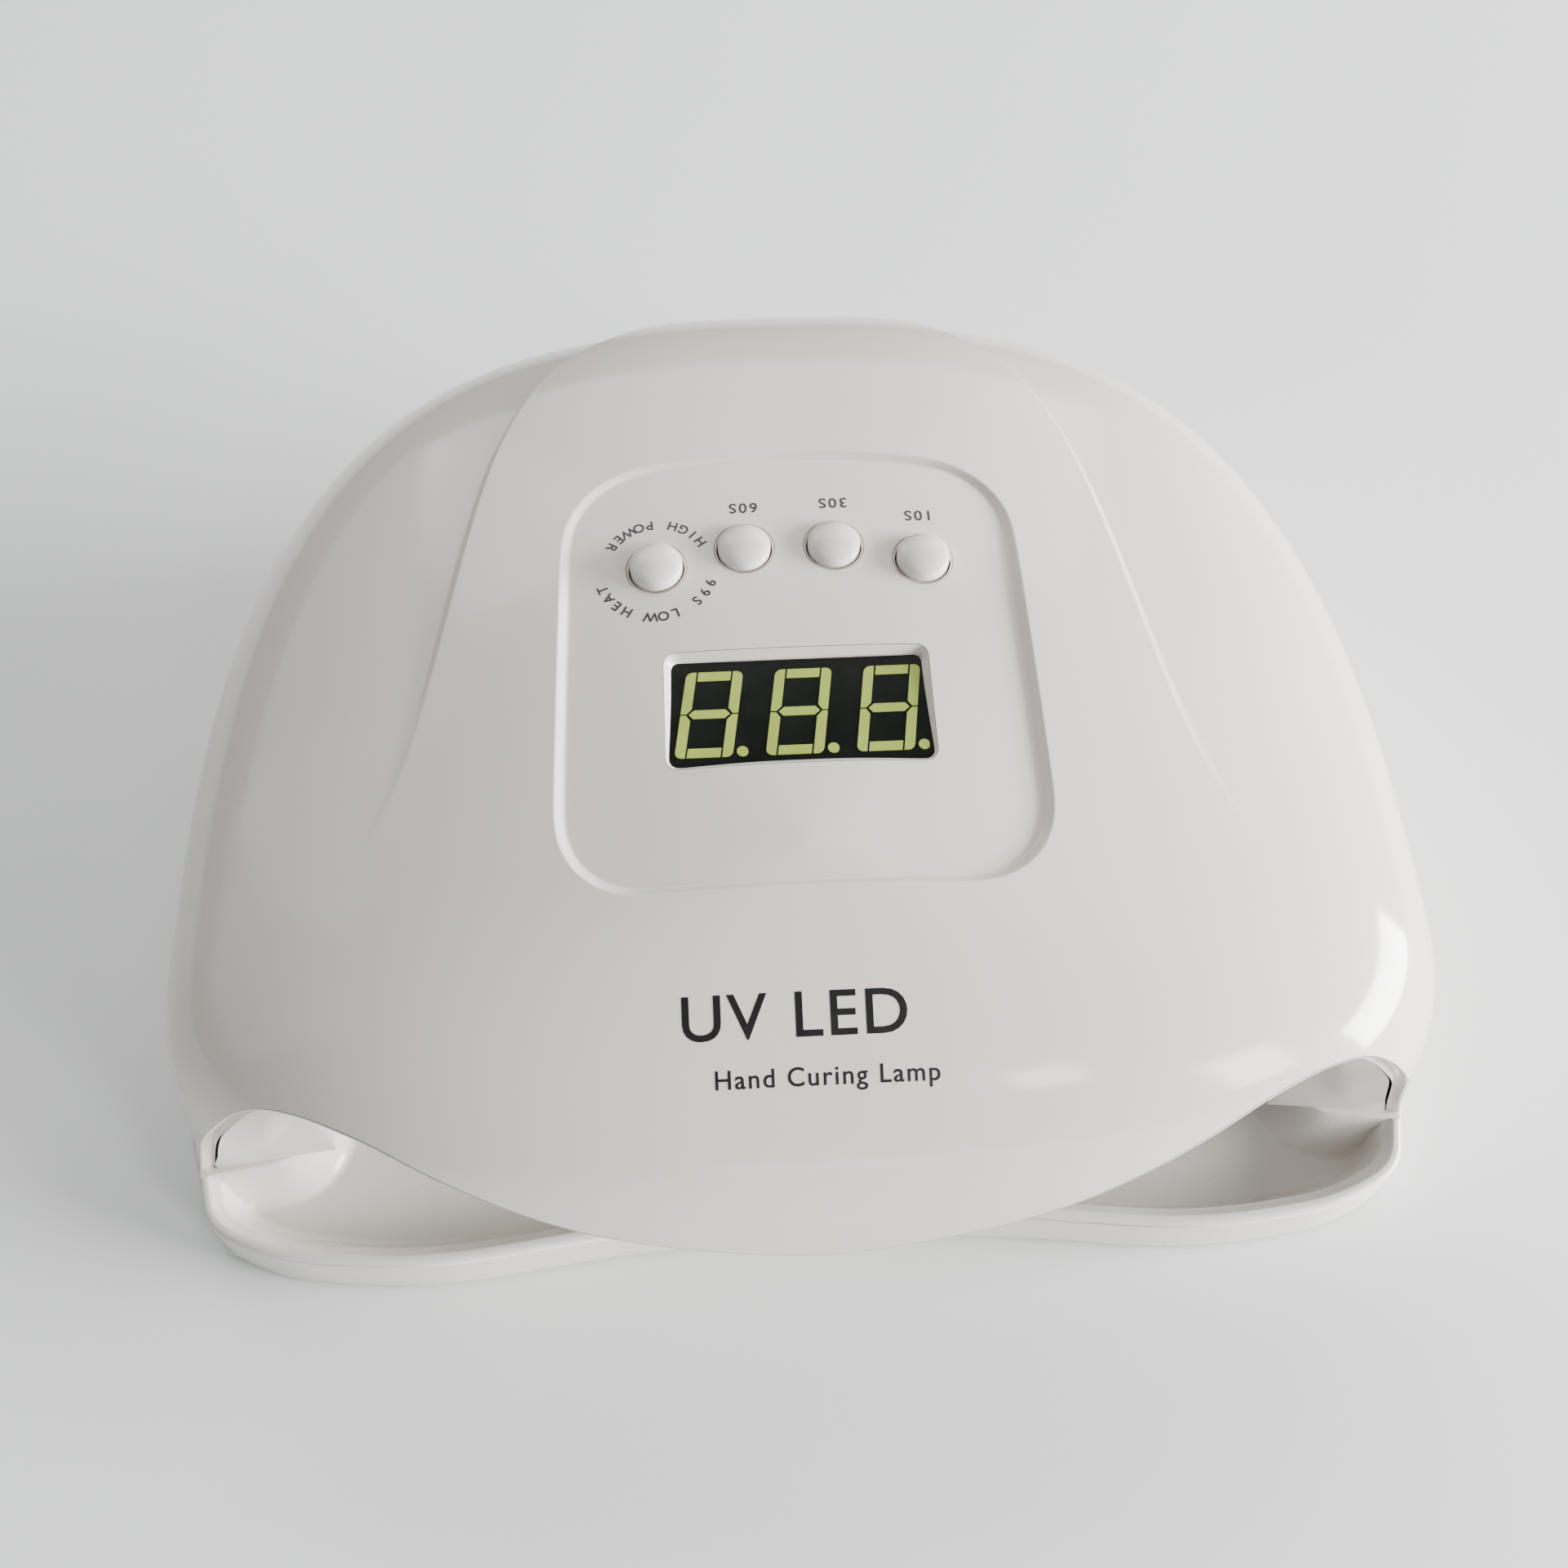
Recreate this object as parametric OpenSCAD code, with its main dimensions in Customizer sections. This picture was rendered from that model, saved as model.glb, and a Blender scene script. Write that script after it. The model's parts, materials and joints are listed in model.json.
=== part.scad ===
// Desktop UV curing lamp: a domed housing held by magnets on a flat tray.
// Millimetres. +X right, +Y to the rear, +Z up. The hand goes in from -Y.
// The origin is under the centre of the object, on the surface it stands on.

/* [Dome] */
// Width of the dome above its flare
dome_w = 189; // [186:1:192]
// Reach of the dome from its widest line to the front
dome_front = 42.8; // [41:0.2:45]
// Reach of the dome from its widest line to the rear, above the draft
dome_rear = 115.7; // [113:0.1:118]
// Place of the widest line, from the centre of the object
dome_y = -45.1; // [-47:0.1:-44]
// Height of the dome at its widest line
dome_h = 78; // [77:0.5:81]
// Rise of the top for each millimetre towards the rear
top_rise = 0.00285; // [0.0026:0.00005:0.003]
// Squareness of the dome seen from above: 2 is an ellipse
plan_power = 2.66; // [2.5:0.02:2.8]
// Sharpness of the shoulder, top side
shoulder_power = 1.3; // [1.2:0.05:1.6]
// Flatness of the flanks, up to the shoulder
flank_power = 9; // [8:0.5:10]
// Outward flare of each flank at its foot
side_flare = 9.3; // [7:0.1:10]
// Height at which the flare ends
flare_top = 57; // [50:1:60]
// Rearward draft of the back wall at its foot
rear_draft = 20; // [16:0.5:21]
// Wall thickness of the upper shell
wall = 2; // [1.8:0.1:2.2]

/* [Control panel] */
// Half the width of the panel recess
panel_half_w = 34.6; // [33:0.2:36]
// Front edge of the panel recess
panel_front = -51.5; // [-53:0.5:-50]
// Rear edge of the panel recess at the centre
panel_rear = 20.8; // [19:0.2:22]
// Depth of the panel recess
panel_drop = 1; // [0.6:0.1:1.2]
// Tilt of the control board, in degrees
board_tilt = 7; // [6:0.5:8]
// Diameter of a button cap
cap_d = 7.8; // [7:0.1:8.4]
// Travel of a button
button_travel = 0.6; // [0.3:0.1:0.8]

/* [Display] */
// Width of the three-digit display module
display_w = 37.6; // [37:0.1:38]
// Depth of the display module's body
display_h = 8; // [7:0.5:8]
// Distance from digit to digit
digit_pitch = 12.7; // [12:0.1:12.8]
// Height of a digit
digit_h = 13.9; // [12:0.1:14.2]
// Slant of the digits, in degrees
digit_slant = 8; // [0:1:10]

/* [Cavity and tray] */
// Width of the cavity between the liner's walls
vault_w = 156; // [152:1:158]
// Reach of the cavity from the dome's widest line to the rear
vault_rear = 105; // [100:1:107]
// Height of the cavity above the housing's foot
vault_h = 50.5; // [49:0.5:51]
// Height of the housing's foot above the ground
base_z = 11.5; // [10:0.5:12]
// Gap between the tray and the ground
foot_gap = 0.6; // [0.4:0.1:1]
// Height of the tray's front rim above the ground
rim_z = 10.6; // [9:0.1:10.8]

/* [Hidden] */
$fn = 96;

white = [0.93, 0.92, 0.91];
board_green = [0.10, 0.35, 0.22];
board_white = [0.90, 0.91, 0.88];
steel = [0.70, 0.71, 0.73];

// ---- Dome surface -------------------------------------------------------
// Half of the front lip seen from the front: x and height, from the middle out.
lip_points = [[0, 36], [16, 39.2], [31, 44.4], [46, 51.3], [54, 54.5], [60, 56.4], [66, 57.2],
              [70.5, 57.1], [75, 56.1], [79, 53.9], [83, 49.4], [88, 39.8], [92.5, 27.5], [97.6, base_z]];
corner_angle = 80.5;       // plan angle of the corner where the lip meets the foot
draft_top = 75;            // height at which the rear draft ends
front_columns = 20;        // mesh columns on each half of the front
rear_columns = 30;
rows = 12;

// Slope of the lip curve at its point i, taken from the neighbours.
function lip_slope(i) =
    i == 0 ? 0 :
    let (last = len(lip_points) - 1, a = lip_points[i - 1], b = lip_points[min(i + 1, last)])
    (b[1] - a[1]) / (b[0] - a[0]);
// Index of the lip stretch that holds x.
function lip_stretch(x, i = 0) =
    i >= len(lip_points) - 2 || x < lip_points[i + 1][0] ? i : lip_stretch(x, i + 1);
// Height of the lip at x, as a smooth curve through the lip points.
function lip_z(x) =
    let (i = lip_stretch(abs(x)), a = lip_points[i], b = lip_points[i + 1], w = b[0] - a[0],
         t = min(1, (abs(x) - a[0]) / w), t2 = t * t, t3 = t2 * t)
    a[1] * (2 * t3 - 3 * t2 + 1) + lip_slope(i) * w * (t3 - 2 * t2 + t)
    + b[1] * (3 * t2 - 2 * t3) + lip_slope(i + 1) * w * (t3 - t2);

// Radius of a superellipse at plan angle a: 0 is the front, 90 the right.
function plan_radius(a, side, front, rear) =
    pow(pow(abs(sin(a)) / side, plan_power)
        + pow(abs(cos(a)) / (cos(a) > 0 ? front : rear), plan_power), -1 / plan_power);
// Share of the plan radius at share u of the height.
function dome_reach(u) = pow(max(0, 1 - pow(u, flank_power)), 1 / shoulder_power);
// Point of the dome at plan angle a and height share u, moved inward by off.
function dome(a, u, off = 0) =
    let (side = dome_w / 2 - off,
         r = dome_reach(u) * plan_radius(a, side, dome_front - off, dome_rear - off),
         x = r * sin(a),
         y = -r * cos(a),
         z = u * (dome_h - off) * (1 + top_rise * y),
         flare = side_flare * pow(max(0, 1 - z / flare_top), 2) * pow(x / side, 2) * sign(x),
         draft = y > 0 ? rear_draft * max(0, 1 - z / draft_top) * pow(y / dome_rear, 2) : 0)
    [x + flare, dome_y + y + draft, z];
// Height of the dome's top over a point near its middle.
function dome_top(x, y) =
    let (v = y - dome_y,
         r = pow(pow(abs(x) / (dome_w / 2), plan_power)
                 + pow(abs(v) / (v > 0 ? dome_rear : dome_front), plan_power), 1 / plan_power))
    pow(1 - pow(r, shoulder_power), 1 / flank_power) * dome_h * (1 + top_rise * v);

function in_front(a) = let (b = a > 180 ? 360 - a : abs(a)) b < corner_angle;
// Height at which the housing ends on column a, found where its outer face meets the lip.
function edge_height(a, lo = 0, hi = 0.95, n = 24) =
    !in_front(a) ? base_z :
    let (m = (lo + hi) / 2, p = dome(a, m))
    n == 0 ? max(base_z, p[2]) :
    p[2] < max(base_z, lip_z(p[0])) ? edge_height(a, m, hi, n - 1) : edge_height(a, lo, m, n - 1);
// Share of the dome's height at which column a reaches height z.
function height_share(a, z, off, lo = 0, hi = 0.95, n = 24) =
    let (m = (lo + hi) / 2)
    n == 0 ? m :
    dome(a, m, off)[2] < z ? height_share(a, z, off, m, hi, n - 1) : height_share(a, z, off, lo, m, n - 1);
// Height share at which column a meets the edge of the housing.
function edge_u(a, off) = height_share(a, edge_height(a), off);
// Length along a column, counted up and in, and the height share at a length.
function column_length(u) = dome_h * u + dome_w / 2 * (1 - dome_reach(u));
function column_u(l, lo = 0, hi = 1, n = 24) =
    n == 0 ? (lo + hi) / 2 :
    let (m = (lo + hi) / 2)
    column_length(m) < l ? column_u(l, m, hi, n - 1) : column_u(l, lo, m, n - 1);

// Plan angles of all columns, closer together near the lip's corners.
half_front = [for (i = [0:front_columns]) corner_angle * (1 - pow(1 - i / front_columns, 1.7))];
rear_span = 360 - 2 * corner_angle;
columns = concat([for (i = [front_columns:-1:1]) -half_front[i]], half_front,
                 [for (i = [1:rear_columns - 1]) corner_angle + rear_span * i / rear_columns]);

// One side of the shell wall: a row of points for each column, without the apex.
function dome_skin(off) =
    [for (a = columns)
        let (u0 = edge_u(a, off), l0 = column_length(u0), l1 = dome_h + dome_w / 2)
        for (i = [0:rows - 1]) dome(a, column_u(l0 + (l1 - l0) * i / rows), off)];

// Closed solid between an outer and an inner skin of n columns and m rows with two apexes.
module skins(outer, inner, n, m, outer_apex, inner_apex) {
    k = n * m;
    top = 2 * k;
    function at(side, c, r) = side * k + (c % n) * m + r;
    faces = concat(
        [for (c = [0:n - 1], r = [0:m - 2], f = [
            [at(0, c, r), at(0, c, r + 1), at(0, c + 1, r + 1)],
            [at(0, c, r), at(0, c + 1, r + 1), at(0, c + 1, r)],
            [at(1, c, r), at(1, c + 1, r + 1), at(1, c, r + 1)],
            [at(1, c, r), at(1, c + 1, r), at(1, c + 1, r + 1)]]) f],
        [for (c = [0:n - 1], f = [
            [at(0, c, m - 1), top, at(0, c + 1, m - 1)],
            [at(1, c, m - 1), at(1, c + 1, m - 1), top + 1],
            [at(0, c, 0), at(0, c + 1, 0), at(1, c + 1, 0)],
            [at(0, c, 0), at(1, c + 1, 0), at(1, c, 0)]]) f]);
    polyhedron(concat(outer, inner, [outer_apex, inner_apex]), faces, convexity = 8);
}

// ---- Places shared by several pieces --------------------------------------
board_y = -12;             // origin of the control board's frame
board_z = 82.2;
board_top = -9.5;          // top face of the control board, under the panel
board_t = 1.6;             // thickness of every circuit board
display_face = -1.5;
display_at = -13;          // display centre along the tilted panel
// Button centres along the tilted panel: x and distance up the slope.
button_at = [[19.7, 11.9], [6.65, 14.7], [-6.65, 14.7], [-19.7, 11.9]];
bore_play = 0.2;           // gap round a button cap
post_at = [[-29, -24], [29, -24], [-29, 20], [29, 20]];
switch_top = -6;           // top of a switch body
plunger_d = 3.5;
plunger_top = -5;

liner_gap = 0.4;           // gap between the shell and the liner at the lip
liner_t = 1.4;
flange_t = 1.6;
vault_front = 38;
magnet_d = 10;
magnet_h = 3;
magnet_angles = [106, 147, 213, 254];
screw_angles = [92, 126, 166, 194, 234, 268];
screw_inset = 8.5;         // from the foot's outline to a screw
magnet_inset = 11;
jack_z = 26;
jack_d = 8;
jack_bore = 5.6;
led_d = 5;
sensor_at = [0, -52];
sensor_d = 10;

module board_frame() translate([0, board_y, board_z]) rotate([board_tilt, 0, 0]) children();

// A point of the foot outline at plan angle a, moved inward.
function foot_u(a, off) = edge_u(a, off);
function foot_point(a, off) = let (p = dome(a, foot_u(a, off), off)) [p[0], p[1]];
module round_foot(angles, inset) for (a = angles) translate(foot_point(a, inset)) children();

// ---- Upper shell ----------------------------------------------------------
recess_corner_front = 12;
recess_corner_rear = 15;

// Outline of the control panel, widened by grow. Its rear edge is a shallow arc.
rear_edge_r = 140;
module panel_outline(grow = 0) {
    w = panel_half_w + grow;
    rear = panel_rear + grow;
    hull() {
        for (s = [-1, 1]) {
            translate([s * (w - recess_corner_front), panel_front - grow + recess_corner_front])
                circle(r = recess_corner_front, $fn = 32);
            translate([s * (w - recess_corner_rear - 0.6), rear - recess_corner_rear - 1.6])
                circle(r = recess_corner_rear, $fn = 32);
        }
        polygon([for (x = [-18:3:18]) [x, rear - x * x / (2 * rear_edge_r)]]);
    }
}

// Plate that follows the dome's top, from drop to drop + t below it.
module crowned_plate(drop, t) {
    n = 14;
    w = panel_half_w + 4;
    y0 = panel_front - 4;
    y1 = panel_rear + 4;
    function spot(i, j, d) =
        let (x = w * (2 * i / n - 1), y = y0 + (y1 - y0) * j / n) [x, y, dome_top(x, y) - d];
    function at(side, i, j) = side * (n + 1) * (n + 1) + i * (n + 1) + j;
    points = [for (d = [drop, drop + t], i = [0:n], j = [0:n]) spot(i, j, d)];
    faces = concat(
        [for (i = [0:n - 1], j = [0:n - 1], f = [
            [at(0, i, j), at(0, i, j + 1), at(0, i + 1, j + 1)],
            [at(0, i, j), at(0, i + 1, j + 1), at(0, i + 1, j)],
            [at(1, i, j), at(1, i + 1, j + 1), at(1, i, j + 1)],
            [at(1, i, j), at(1, i + 1, j), at(1, i + 1, j + 1)]]) f],
        [for (k = [0:n - 1], f = [
            [at(0, k, 0), at(0, k + 1, 0), at(1, k + 1, 0)], [at(0, k, 0), at(1, k + 1, 0), at(1, k, 0)],
            [at(0, k, n), at(1, k, n), at(1, k + 1, n)], [at(0, k, n), at(1, k + 1, n), at(0, k + 1, n)],
            [at(0, 0, k), at(1, 0, k), at(1, 0, k + 1)], [at(0, 0, k), at(1, 0, k + 1), at(0, 0, k + 1)],
            [at(0, n, k), at(0, n, k + 1), at(1, n, k + 1)], [at(0, n, k), at(1, n, k + 1), at(1, n, k)]]) f]);
    polyhedron(points, faces, convexity = 4);
}

window_w = 35.8;           // clear size of the display window
window_h = 16.4;
boss_d = 6.4;
boss_foot = base_z + 4.6;  // bosses stand on the liner's screw cups
post_d = 5;

panel_t = 1.8;             // thickness of the shell under the panel
pocket_play = 0.2;         // gap round the display module, and half of it above the module

module panel_cut() translate([0, 0, 60]) linear_extrude(60) panel_outline();
module panel_insert() intersection() {
    crowned_plate(panel_drop, panel_t);
    translate([0, 0, 50]) linear_extrude(60) panel_outline(1.4);
}

module upper_shell() color(white) difference() {
    union() {
        difference() {
            skins(dome_skin(0), dome_skin(wall), len(columns), rows,
                  [0, dome_y, dome_h], [0, dome_y, dome_h - wall]);
            panel_cut();
        }
        panel_insert();
        board_frame() for (p = post_at) translate([p[0], p[1], board_top])
            cylinder(d = post_d, h = -board_top - panel_drop - 0.8);
        for (i = [0:len(screw_angles) - 1])
            translate([each foot_point(screw_angles[i], screw_inset), boss_foot])
                cylinder(d = boss_d, h = abs(screw_angles[i] - 180) < 40 ? 16 : 24);
    }
    board_frame() {
        for (b = button_at) translate([b[0], b[1], -6]) cylinder(d = cap_d + 2 * bore_play, h = 12);
        translate([-window_w / 2, display_at - window_h / 2, -6]) cube([window_w, window_h, 12]);
        translate([-display_w / 2 - pocket_play, display_at - 9.5 - pocket_play, -8])
            cube([display_w + 2 * pocket_play, 19 + 2 * pocket_play, 8 + display_face + pocket_play]);
        for (p = post_at) translate([p[0], p[1], board_top - 1]) cylinder(d = 2.2, h = 7);
    }
    round_foot(screw_angles, screw_inset) translate([0, 0, boss_foot - 1]) cylinder(d = 3, h = 13);
    translate([0, 95, jack_z]) rotate([90, 0, 0]) cylinder(d = jack_d + 0.2, h = 18);
}

// ---- Inner liner ------------------------------------------------------------
vault_power = 6;
vault_shoulder = 2.5;
liner_rows = 11;
lip_shelf = 0.6;           // share of the way from the vault to the lip kept by the first row
lip_blend = 16;            // length over which the lip runs into the vault

function vault_reach(w) = pow(max(0, 1 - pow(min(1, w), vault_power)), 1 / vault_shoulder);
// Point of the vault at plan angle a and height share w, moved outward by off.
function vault(a, w, off) =
    let (r = vault_reach(w) * plan_radius(a, vault_w / 2 + off, vault_front + off, vault_rear + off))
    [r * sin(a), dome_y - r * cos(a), base_z + w * (vault_h + off)];
function vault_length(w) = vault_h * w + vault_w / 2 * (1 - vault_reach(w));
function vault_share(l, lo = 0, hi = 1, n = 22) =
    n == 0 ? (lo + hi) / 2 :
    let (m = (lo + hi) / 2)
    vault_length(m) < l ? vault_share(l, m, hi, n - 1) : vault_share(l, lo, m, n - 1);

// One column of the liner: its edge at the lip or foot, then up the vault.
// outside is 0 on the cavity side and 1 on the shell side.
function liner_column(a, outside) =
    let (plain = dome(a, edge_u(a, wall + liner_gap), wall + liner_gap),
         lip = min(1, (plain[2] - base_z) / 8),
         inset = wall + liner_gap + (1 - outside) * lip * liner_t,
         edge = dome(a, edge_u(a, inset), inset),
         start = edge + [0, 0, outside * (1 - lip) * flange_t],
         off = outside * liner_t,
         w0 = (edge[2] + outside * flange_t - base_z) / (vault_h + off),
         first = vault(a, w0, off),
         l0 = vault_length(w0),
         l1 = vault_length(1),
         reach = [start[0] - first[0], start[1] - first[1], 0])
    concat([start],
        [for (i = [0:liner_rows - 1])
            let (l = (l1 - l0) * i / liner_rows)
            vault(a, vault_share(l0 + l), off)
            + reach * lip * lip_shelf * pow(max(0, 1 - l / lip_blend), 1.5)]);

module led_hole() cylinder(d = led_d + 1, h = 14, center = true, $fn = 48);

// The liner is one moulding. It is kept as five nodes that meet at shared columns and rows:
// the ceiling, and four stretches of its wall.
ceiling_row = 5;
visor_first = 8;
visor_last = 32;
right_last = 49;
rear_last = 61;

// Closed solid between the liner's skins, from column c0 to c1, below the ceiling.
module liner_wall(c0, c1) {
    n = len(columns);
    nc = c1 - c0 + 1;
    nr = ceiling_row + 1;
    points = [for (side = [1, 0], c = [c0:c1]) let (p = liner_column(columns[c % n], side))
        for (r = [0:ceiling_row]) p[r]];
    function at(side, c, r) = (side * nc + c) * nr + r;
    e = nc - 1;
    t = ceiling_row;
    faces = concat(
        [for (c = [0:e - 1], r = [0:t - 1], f = [
            [at(0, c, r), at(0, c, r + 1), at(0, c + 1, r + 1)],
            [at(0, c, r), at(0, c + 1, r + 1), at(0, c + 1, r)],
            [at(1, c, r), at(1, c + 1, r + 1), at(1, c, r + 1)],
            [at(1, c, r), at(1, c + 1, r), at(1, c + 1, r + 1)]]) f],
        [for (c = [0:e - 1], f = [
            [at(0, c, 0), at(0, c + 1, 0), at(1, c + 1, 0)], [at(0, c, 0), at(1, c + 1, 0), at(1, c, 0)],
            [at(0, c, t), at(1, c + 1, t), at(0, c + 1, t)], [at(0, c, t), at(1, c, t), at(1, c + 1, t)]]) f],
        [for (r = [0:t - 1], f = [
            [at(0, 0, r + 1), at(0, 0, r), at(1, 0, r)], [at(0, 0, r + 1), at(1, 0, r), at(1, 0, r + 1)],
            [at(0, e, r), at(0, e, r + 1), at(1, e, r + 1)], [at(0, e, r), at(1, e, r + 1), at(1, e, r)]]) f]);
    polyhedron(points, faces, convexity = 6);
}

// A stretch of wall with its magnet and screw cups.
module cupped_wall(c0, c1, magnet_at, screw_at) difference() {
    union() {
        liner_wall(c0, c1);
        round_foot(magnet_at, magnet_inset) translate([0, 0, base_z]) cylinder(d = magnet_d + 3, h = 4);
        round_foot(screw_at, screw_inset) translate([0, 0, base_z]) cylinder(d = 8.8, h = 4.5);
    }
    round_foot(magnet_at, magnet_inset)
        translate([0, 0, base_z - 1]) cylinder(d = magnet_d + 0.1, h = magnet_h + 1.3);
    round_foot(screw_at, screw_inset) translate([0, 0, base_z - 1]) {
        cylinder(d = 6.4, h = 3.6);
        cylinder(d = 3.2, h = 9);
    }
}
module liner_right() color(white) difference() {
    cupped_wall(visor_last, right_last, [magnet_angles[0]], [screw_angles[0], screw_angles[1]]);
    for (p = side_leds) translate([77, p[0], p[1]]) rotate([0, 90, 0]) led_hole();
}
module liner_left() color(white) difference() {
    cupped_wall(rear_last, len(columns) + visor_first, [magnet_angles[3]], [screw_angles[4], screw_angles[5]]);
    for (p = side_leds) translate([-77, p[0], p[1]]) rotate([0, 90, 0]) led_hole();
}
module liner_rear() color(white) difference() {
    cupped_wall(right_last, rear_last, [magnet_angles[1], magnet_angles[2]], [screw_angles[2], screw_angles[3]]);
    for (p = rear_leds) translate([p[0], 59, p[1]]) rotate([90, 0, 0]) led_hole();
}
module liner_visor() color(white) liner_wall(visor_first, visor_last);
module liner_ceiling() color(white) difference() {
    skins([for (a = columns) let (p = liner_column(a, 1)) for (r = [ceiling_row:liner_rows]) p[r]],
          [for (a = columns) let (p = liner_column(a, 0)) for (r = [ceiling_row:liner_rows]) p[r]],
          len(columns), liner_rows + 1 - ceiling_row,
          [0, dome_y, base_z + vault_h + liner_t], [0, dome_y, base_z + vault_h]);
    for (p = ceiling_leds) translate([p[0], p[1], 60]) led_hole();
    translate([each sensor_at, 60]) cylinder(d = sensor_d + 0.2, h = 12, center = true);
}

// ---- Tray -------------------------------------------------------------------
// Half of the tray's front edge, from the middle out.
tray_points = [[0, -73], [30, -74.3], [58, -77.3], [78, -76.2], [89, -73.3], [96, -68.6]];
tray_proud = 0.5;          // the tray stands out past the housing by this much
platform_front = -61.5;
platform_wall = 2;
rim_t = 2.2;
floor_t = 2;

function curve_point(p, i, t) =
    let (last = len(p) - 1, a = p[max(0, i - 1)], b = p[i], c = p[i + 1], d = p[min(last, i + 2)])
    0.5 * (2 * b + (c - a) * t + (2 * a - 5 * b + 4 * c - d) * t * t + (3 * b - a - 3 * c + d) * t * t * t);
function smooth_curve(p, n) =
    [for (i = [0:len(p) - 2], k = [0:n - 1]) curve_point(p, i, k / n)];

tray_foot = [for (i = [0:2 * rear_columns]) foot_point(corner_angle + rear_span * i / (2 * rear_columns), -tray_proud)];
right_front = smooth_curve(concat([[-30, -74.3]], tray_points, [tray_foot[0]], [tray_foot[2]]), 6);
// The curve's first stretch runs up to the middle and its last one into the foot outline.
front_half = [for (i = [6:len(right_front) - 7]) right_front[i]];
tray_outline = concat(front_half, tray_foot,
    [for (i = [len(front_half) - 1:-1:1]) [-front_half[i][0], front_half[i][1]]]);

// The outline moved inward by d along its own normals.
function inward(path, d) =
    let (n = len(path))
    [for (i = [0:n - 1])
        let (a = path[(i + n - 1) % n], b = path[(i + 1) % n], t = (b - a) / norm(b - a))
        path[i] + d * [-t[1], t[0]]];

module tray_well() {
    offset(r = -6, $fn = 48) offset(delta = 6) union() {
        polygon([for (i = [0:60]) let (a = 60 + 4 * i, r = plan_radius(a, vault_w / 2 + 1.5, 60, vault_rear + 1.5))
            [r * sin(a), dome_y - r * cos(a)]]);
        translate([-130, platform_front - 60]) square([260, 60]);
    }
}
module platform_outline() difference() {
    polygon(tray_outline);
    tray_well();
}

// Stiffening ribs across the hollow under the platform.
rib_step = 12;
module ribs() intersection() {
    platform_outline();
    for (a = [90:rib_step:270]) translate([0, dome_y]) rotate(a - 90) translate([0, -1]) square([140, 2]);
}

module tray_edge() difference() {
    polygon(tray_outline);
    polygon(inward(tray_outline, rim_t));
}
// The tray is one moulding. It is kept as its floor, its rim and its raised platform.
module tray_sockets() {
    for (p = foot_at) translate([p[0], p[1], -1]) cylinder(d = 12.2, h = 2.2);
    round_foot(magnet_angles, magnet_inset) translate([0, 0, base_z - 1]) cylinder(d = 14.2, h = 2);
}
module tray_floor() color(white) difference() {
    translate([0, 0, foot_gap]) linear_extrude(floor_t) difference() {
        polygon(tray_outline);
        platform_outline();
    }
    tray_sockets();
}
module tray_rim() color(white) translate([0, 0, foot_gap + floor_t])
    linear_extrude(rim_z - foot_gap - floor_t) difference() {
        tray_edge();
        platform_outline();
    }
module tray_platform() color(white) difference() {
    translate([0, 0, foot_gap]) linear_extrude(base_z - foot_gap) platform_outline();
    translate([0, 0, -1]) linear_extrude(base_z - platform_wall + 1) difference() {
        offset(delta = -platform_wall) platform_outline();
        ribs();
    }
    tray_sockets();
}

foot_at = [[-58, -58], [58, -58], [-50, 32], [50, 32]];
module rubber_feet() color([0.25, 0.25, 0.26]) for (p = foot_at) translate(p) rotate_extrude()
    polygon([[0, 0], [5.2, 0], [6, 0.5], [6, 1.2], [0, 1.2]]);
module strike_plates() color(steel) round_foot(magnet_angles, magnet_inset)
    translate([0, 0, base_z - 1]) cylinder(d = 14, h = 1);

// ---- Fasteners and magnets --------------------------------------------------
module magnets() color(steel) round_foot(magnet_angles, magnet_inset)
    translate([0, 0, base_z + 0.3]) cylinder(d = magnet_d, h = magnet_h);
module screw(head_d, head_h, d, l) {
    difference() {
        cylinder(d = head_d, h = head_h);
        for (a = [0, 90]) rotate(a) translate([-head_d / 3, -0.35, -1]) cube([head_d / 1.5, 0.7, 1.6]);
    }
    cylinder(d = d, h = head_h + l);
}
module shell_screws() color(steel) round_foot(screw_angles, screw_inset)
    translate([0, 0, base_z + 0.5]) screw(5.8, 2.1, 2.94, 12);
module board_screws() color(steel) board_frame() for (p = post_at)
    translate([p[0], p[1], board_top - board_t - 1.6]) screw(4.4, 1.6, 2.14, 6);

// ---- Control board ----------------------------------------------------------
board_w = 66;
board_l = 53;
module control_board() color(board_green) board_frame() difference() {
    translate([-board_w / 2, -28.5, board_top - board_t]) cube([board_w, board_l, board_t]);
    for (p = post_at) translate([p[0], p[1], board_top - board_t - 1]) cylinder(d = 2.4, h = board_t + 2);
}
// Places of the parts soldered under the board: x, distance up the slope, size.
chips = [[-8, 2, [10, 7.4, 1.8]], [12, 4, [6.4, 9.6, 2.2]], [-22, 6, [6.4, 9.6, 2.2]], [2, 15, [7, 7, 3.2]]];
module board_components() color([0.12, 0.12, 0.13]) board_frame() for (c = chips)
    translate([c[0] - c[2][0] / 2, c[1] - c[2][1] / 2, board_top - board_t - c[2][2]]) cube(c[2]);
// White plug housings under the board: x and distance up the slope.
plug_at = [[22, 17], [-14, 19], [14, 19]];
plug_size = [7.5, 5, 4.5];
module board_connectors() color([0.92, 0.90, 0.84]) board_frame() for (p = plug_at)
    translate([p[0] - plug_size[0] / 2, p[1] - plug_size[1] / 2, board_top - board_t - plug_size[2]])
        cube(plug_size);

// ---- Display ------------------------------------------------------------------
module display_module() color([0.03, 0.04, 0.03]) board_frame()
    translate([-display_w / 2, display_at - 9.5, display_face - display_h]) cube([display_w, 19, display_h]);

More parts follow.
